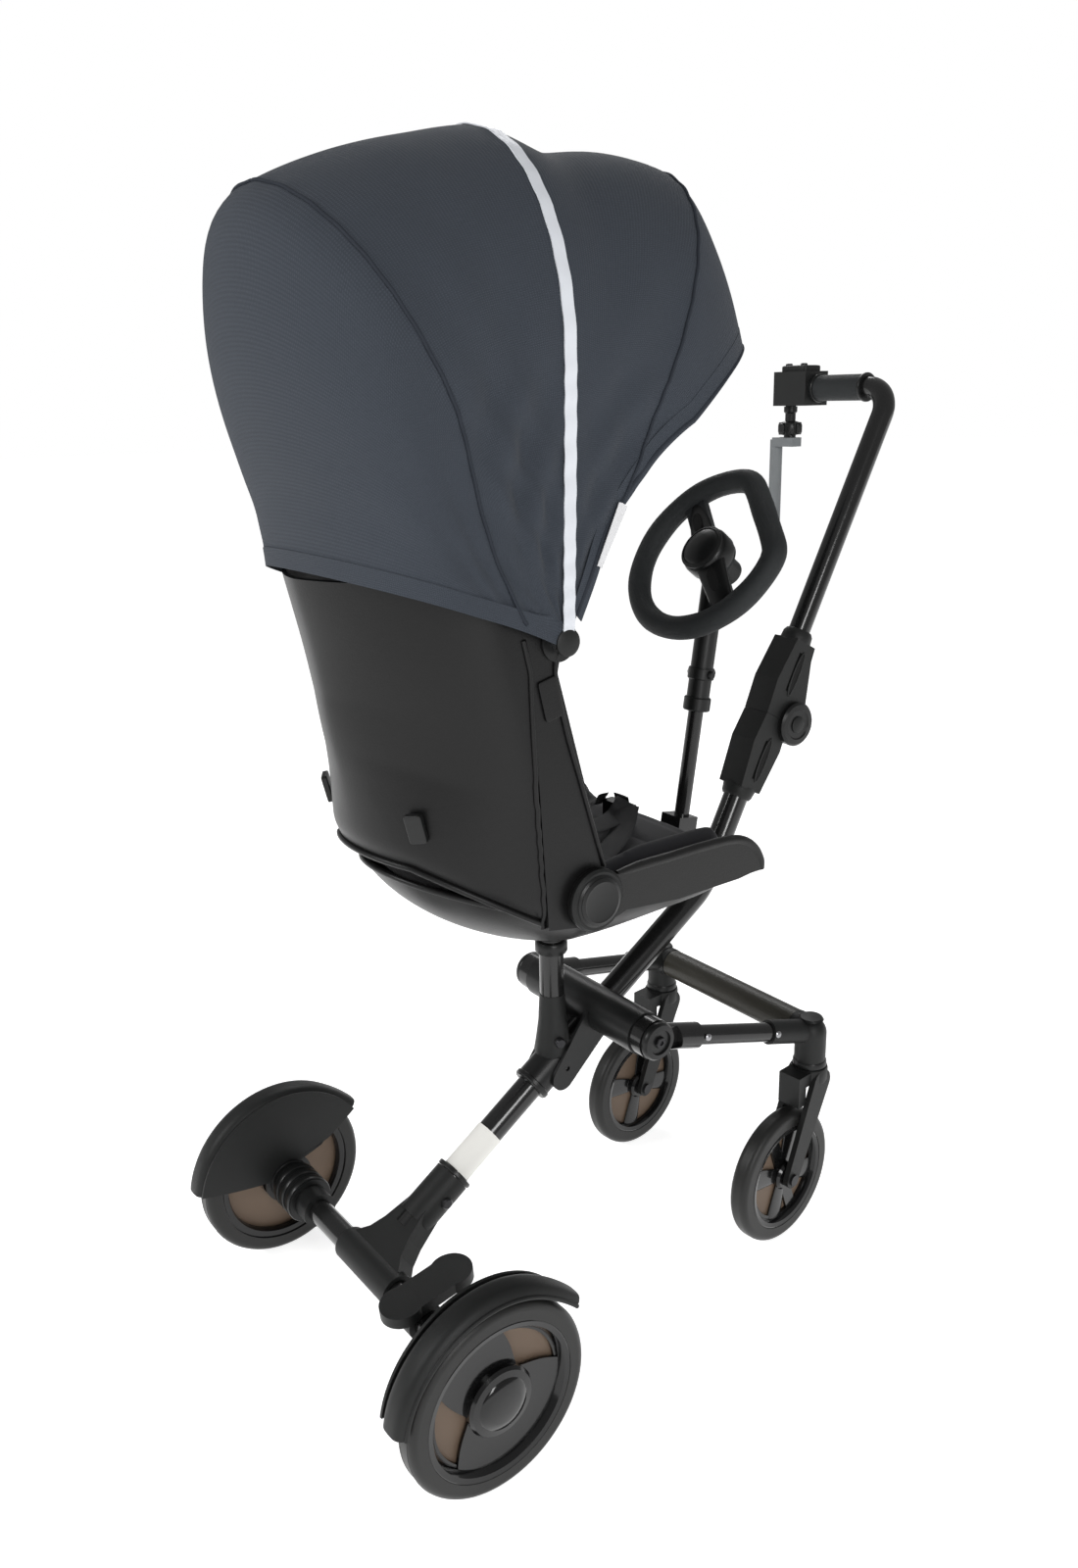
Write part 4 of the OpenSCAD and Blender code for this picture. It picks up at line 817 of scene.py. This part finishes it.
along = spine(1) - spine(0)
for name, s, r, w in (("yoke_ring", 127, 22, 5), ("sleeve_ring_low", 259, 22.4, 6),
                      ("sleeve_ring_high", 317, 22.4, 6)):
    lathe(name, [(15.7, 0), (r - 1, 0), (r, 1), (r, w - 1), (r - 1, w), (15.7, w), (15.7, 0)], spine(s), along, SATIN,
          "chassis")
lathe("spine_band_skin", [(15.7, 0), (16.2, 0), (16.2, 56), (15.7, 56), (15.7, 0)], spine(133), along, PALE,
      "chassis", 96,
      slot="label_grey", replaces=("tube_sleeve_label",))
lathe("post_flare", [(14.2, 0), (21, 0), (22, 3), (19.5, 18), (16.5, 40), (14.6, 74), (14.2, 74), (14.2, 0)],
      (0, 0, 276), (0, 0, 1), CASTING, "chassis", slot="casting")
lathe("post_collar", [(14.2, 0), (17.5, 0), (18.5, 2), (18.5, 12), (17, 14), (14.2, 14), (14.2, 0)], (0, 0, 402),
      (0, 0, 1),
      SATIN, "chassis")
lathe("post_bolt", [(0.01, 0), (6, 0), (6, 4), (5, 5.4), (0.01, 5.6)], (19, -5, 296), (1, -0.25, 0), DARK_STEEL,
      "chassis", 24)
for s, name in ((1, "l"), (-1, "r")):
    lathe(f"yoke_bolt_{name}", [(0.01, 0), (6.5, 0), (6.5, 3), (5, 4.6), (0.01, 4.8)],
          spine(100) + [s * 20, 0, 0], (s, 0, 0), DARK_STEEL, "chassis", 24)

# ---------------------------------------------------------------- steering toy
TILT = math.radians(52.9)
TOY = np.array([0, 236, 829.6])
NORMAL = np.array([0, -math.sin(TILT), math.cos(TILT)])
IN_PLANE = np.array([0, math.cos(TILT), math.sin(TILT)])


def on_wheel(a, r, lift=0.0):
    w = math.radians(a)
    return TOY + r * (math.cos(w) * np.array([1, 0, 0]) + math.sin(w) * IN_PLANE) + lift * NORMAL


lathe("toy_hub_dome", [(0.01, -12), (28, -12), (29.5, -8), (29.5, 6), (27, 13), (20, 18), (10, 20.6), (0.01, 21)],
      TOY,
      NORMAL, SATIN, "toy_wheel", slot="casting")
lathe("toy_hub_ring", [(24, 12.5), (27.6, 12.5), (27.6, 14.2), (24, 16.4), (24, 12.5)], TOY, NORMAL, CASTING,
      "toy_wheel")
for k, (a, w, taper) in enumerate(((135, 17, 10), (315, 19, 13))):
    path = smooth_line([on_wheel(a, r, l) for r, l in ((16, 2), (40, 1), (66, -1), (92, -3))], 24)
    tube(f"toy_spoke_{k}", path, np.linspace(w, taper, 24), SATIN, "toy_wheel", hint=NORMAL, flat=0.42, sides=24,
         slot="casting")
    # painted shade: a flat near-black strip laid along each spoke in place of a sunken groove's shade
    path = smooth_line([on_wheel(a, r, l) for r, l in ((34, 8.4), (50, 7), (66, 5.2))], 12)
    tube(f"toy_spoke_recess_{k}", path, [3, 5, 6, 6, 6, 6, 6, 6, 6, 5, 4, 2], HOLE_SHADE, "toy_wheel", hint=NORMAL,
         flat=0.15)
foam_path = []
for a in np.arange(0, 360, 2.5):
    c = math.cos(math.radians(a - 45))
    r = 98 if c < 0.1 else (98**-24.0 + (78 / c) ** -24.0) ** (-1 / 24)
    foam_path.append(on_wheel(a, r))
tube("toy_rim_foam", foam_path, 13.6 + 0.25 * sin(np.linspace(0, 2 * pi * 9, len(foam_path))), FOAM, "toy_wheel",
     closed=True, hint=NORMAL, sides=28, slot="foam")
lathe("toy_neck", [(0.01, -46), (15.5, -46), (16.5, -43), (16.5, -22), (19, -18), (19, -13), (0.01, -13)], TOY,
      NORMAL,
      CASTING, "toy_post", slot="casting")
RAKE = math.radians(80.5)
toy_axis = np.array([0, math.cos(RAKE), math.sin(RAKE)])
toy_foot = np.array([0, 196, 500.0])
for name, s, r, h in (("toy_sleeve_foot", 149, 16, 16), ("toy_sleeve_band", 186, 15.6, 14)):
    lathe(name, [(9.2, 0), (r - 1.2, 0), (r, 1.2), (r, h - 1.2), (r - 1.2, h), (9.2, h), (9.2, 0)],
          toy_foot + s * toy_axis, toy_axis, SATIN, "toy_post")
front = np.array([0, math.sin(RAKE), -math.cos(RAKE)])
for s, name in ((1, "l"), (-1, "r")):
    lathe(f"toy_button_{name}", [(0.01, 12), (5, 12), (5, 18), (3.8, 19.4), (0.01, 19.6)], toy_foot + 193 * toy_axis,
          (s, 0, 0), SATIN, "toy_post", 24)

# ---------------------------------------------------------------- folding push bar
POLE = math.radians(61.7)
FOLD = np.array([0, 369, 609.0])
pole_axis = np.array([0, math.cos(POLE), math.sin(POLE)])
pole_out = np.array([0, math.sin(POLE), -math.cos(POLE)])


def on_pole(x, out, s):
    """A point beside the push bar: across, out from its line, and up along it from the fold."""
    return FOLD + [x, 0, 0] + out * pole_out + s * pole_axis


lean_turn = (math.degrees(POLE) - 90, 0, 0)
for s, name in ((1, "l"), (-1, "r")):
    for half, body, z in (("low", "chassis", -58), ("high", "handle", 56)):
        # painted shade: a thin near-black plate inside each slot rim in place of the open slot's shade
        block(f"fold_slot_{half}_{name}", on_pole(s * 18.6, -27, z), (0.9, 3.4, 26), HOLE_SHADE, body, 0.35, lean_turn)
        rim = [on_pole(s * 19, -27 + 5.2 * math.cos(q), z + 28 * math.sin(q))
               for q in np.linspace(0, 2 * pi, 48, endpoint=False)]
        tube(f"fold_slot_rim_{half}_{name}", rim, 1.3, CASTING, body, closed=True, hint=(1, 0, 0), slot="casting")
    lathe(f"fold_disc_{name}", [(0.01, 20), (26, 20), (27.6, 22), (27.6, 25.5), (25, 28), (19, 28.6), (17.5, 27),
                                (0.01, 27)],
          FOLD, (s, 0, 0), SATIN, "handle")
lathe("fold_button_face", [(0.01, 24), (10.6, 24), (10.6, 28.4), (8.4, 29.8), (0.01, 30)], FOLD, (1, 0, 0),
      CASTING, "fold_lock")
lathe("fold_collar_high", [(13.6, 0), (18.5, 0), (19.5, 2), (18.5, 12), (16, 16), (13.6, 16), (13.6, 0)],
      on_pole(0, -29.2, 94), pole_axis, CASTING, "handle", slot="casting")
lathe("fold_collar_low", [(15.6, 0), (20, 0), (20.5, -3), (19, -12), (17, -15), (15.6, -15), (15.6, 0)],
      on_pole(0, -29.2, -96), pole_axis, CASTING, "chassis", slot="casting")
GRIP = np.array([0, 551.752, 1010.0])
for name, x in (("grip_end_ring", -43), ("grip_ring", -121)):
    lathe(name, [(13.6, 0), (17.6, 0), (18.2, 1), (18.2, 3), (17.6, 4), (13.6, 4), (13.6, 0)], GRIP + [x, 0, 0],
          (1, 0, 0), SATIN, "handle")
block("clamp_jaw", GRIP + [-152, 0, 25], (22, 17, 5), CASTING, "handle", 0.3, slot="casting")
for k, x in enumerate((-166, -140)):
    lathe(f"clamp_screw_{k}", [(0.01, 28), (4.6, 28), (4.6, 31.5), (3.6, 32.4), (0.01, 32.4)], GRIP + [x, -8, 0],
          (0, 0, 1), DARK_STEEL, "handle", 24)
lathe("clamp_knob", [(0.01, -23), (9, -23), (9, -30), (6.5, -33), (6.5, -42), (13, -44), (14.5, -47), (14.5, -56),
                     (12, -60), (8, -61), (8, -66), (0.01, -66)], GRIP + [-168, 0, 0], (0, 0, 1), SATIN, "handle")
for k in range(4):
    a = k * pi / 2
    block(f"knob_wing_{k}", GRIP + [-168 + 13 * math.cos(a), 13 * math.sin(a), -52], (6, 4.4, 7), SATIN, "handle",
          0.4, (0, 0, 90 * k))

# ---------------------------------------------------------------- floor and light
def plain_stage(name, rgb, glow):
    """A matt colour that also gives off a little white, so that the ground stays pale far from the lamps."""
    m = bpy.data.materials.new(name)
    m.use_nodes = True
    shader = m.node_tree.nodes["Principled BSDF"]
    shader.inputs["Base Color"].default_value = (*rgb, 1)
    shader.inputs["Roughness"].default_value = 0.95
    shader.inputs["Specular IOR Level"].default_value = 0.0
    shader.inputs["Emission Color"].default_value = (1, 1, 1, 1)
    shader.inputs["Emission Strength"].default_value = glow
    return m


def stage_mesh(name, verts, faces, look):
    """A mesh of the studio, which is no part of the object."""
    me = bpy.data.meshes.new(name)
    me.from_pydata(verts, [], faces)
    me.materials.append(look)
    o = bpy.data.objects.new(name, me)
    bpy.context.scene.collection.objects.link(o)
    return o


FLOOR_HALF, WALL_R, WALL_H, SIDES = 30, 27, 40, 48
floor = [(x * FLOOR_HALF, y * FLOOR_HALF, -0.001) for x, y in ((-1, -1), (1, -1), (1, 1), (-1, 1))]
stage_mesh("floor", floor, [(0, 1, 2, 3)], plain_stage("floor_white", (0.9, 0.9, 0.9), 0.72))
ring = [(WALL_R * math.cos(a), WALL_R * math.sin(a)) for a in np.linspace(0, 2 * pi, SIDES, endpoint=False)]
wall = stage_mesh("backdrop", [(x, y, z) for z in (-1, WALL_H) for x, y in ring],
                  [(i, (i + 1) % SIDES, SIDES + (i + 1) % SIDES, SIDES + i) for i in range(SIDES)],
                  plain_stage("wall_white", (0, 0, 0), 1.0))
wall.visible_diffuse = wall.visible_glossy = wall.visible_shadow = wall.visible_transmission = False
world = bpy.data.worlds.new("studio")
world.use_nodes = True
world.node_tree.nodes["Background"].inputs["Color"].default_value = (1, 1, 1, 1)
world.node_tree.nodes["Background"].inputs["Strength"].default_value = 0.34
bpy.context.scene.world = world
bpy.context.scene.view_settings.view_transform = "Standard"


def softbox(name, place, look_at, size, power):
    """A rectangular lamp in metres and watts, turned to a point."""
    light = bpy.data.lights.new(name, "AREA")
    light.shape, light.size, light.size_y, light.energy = "RECTANGLE", size[0], size[1], power
    o = bpy.data.objects.new(name, light)
    d = Vector(look_at) - Vector(place)
    o.matrix_world = Matrix.Translation(place) @ d.to_track_quat("-Z", "Y").to_matrix().to_4x4()
    bpy.context.scene.collection.objects.link(o)


softbox("key", (-0.8, -2.9, 2.3), (0, 0, 0.7), (1.2, 1.0), 48)
softbox("side", (2.6, -0.9, 1.5), (0, 0, 0.5), (0.6, 1.4), 34)
softbox("rim", (-2.0, 1.6, 2.6), (0, 0, 0.8), (1.2, 1.2), 22)
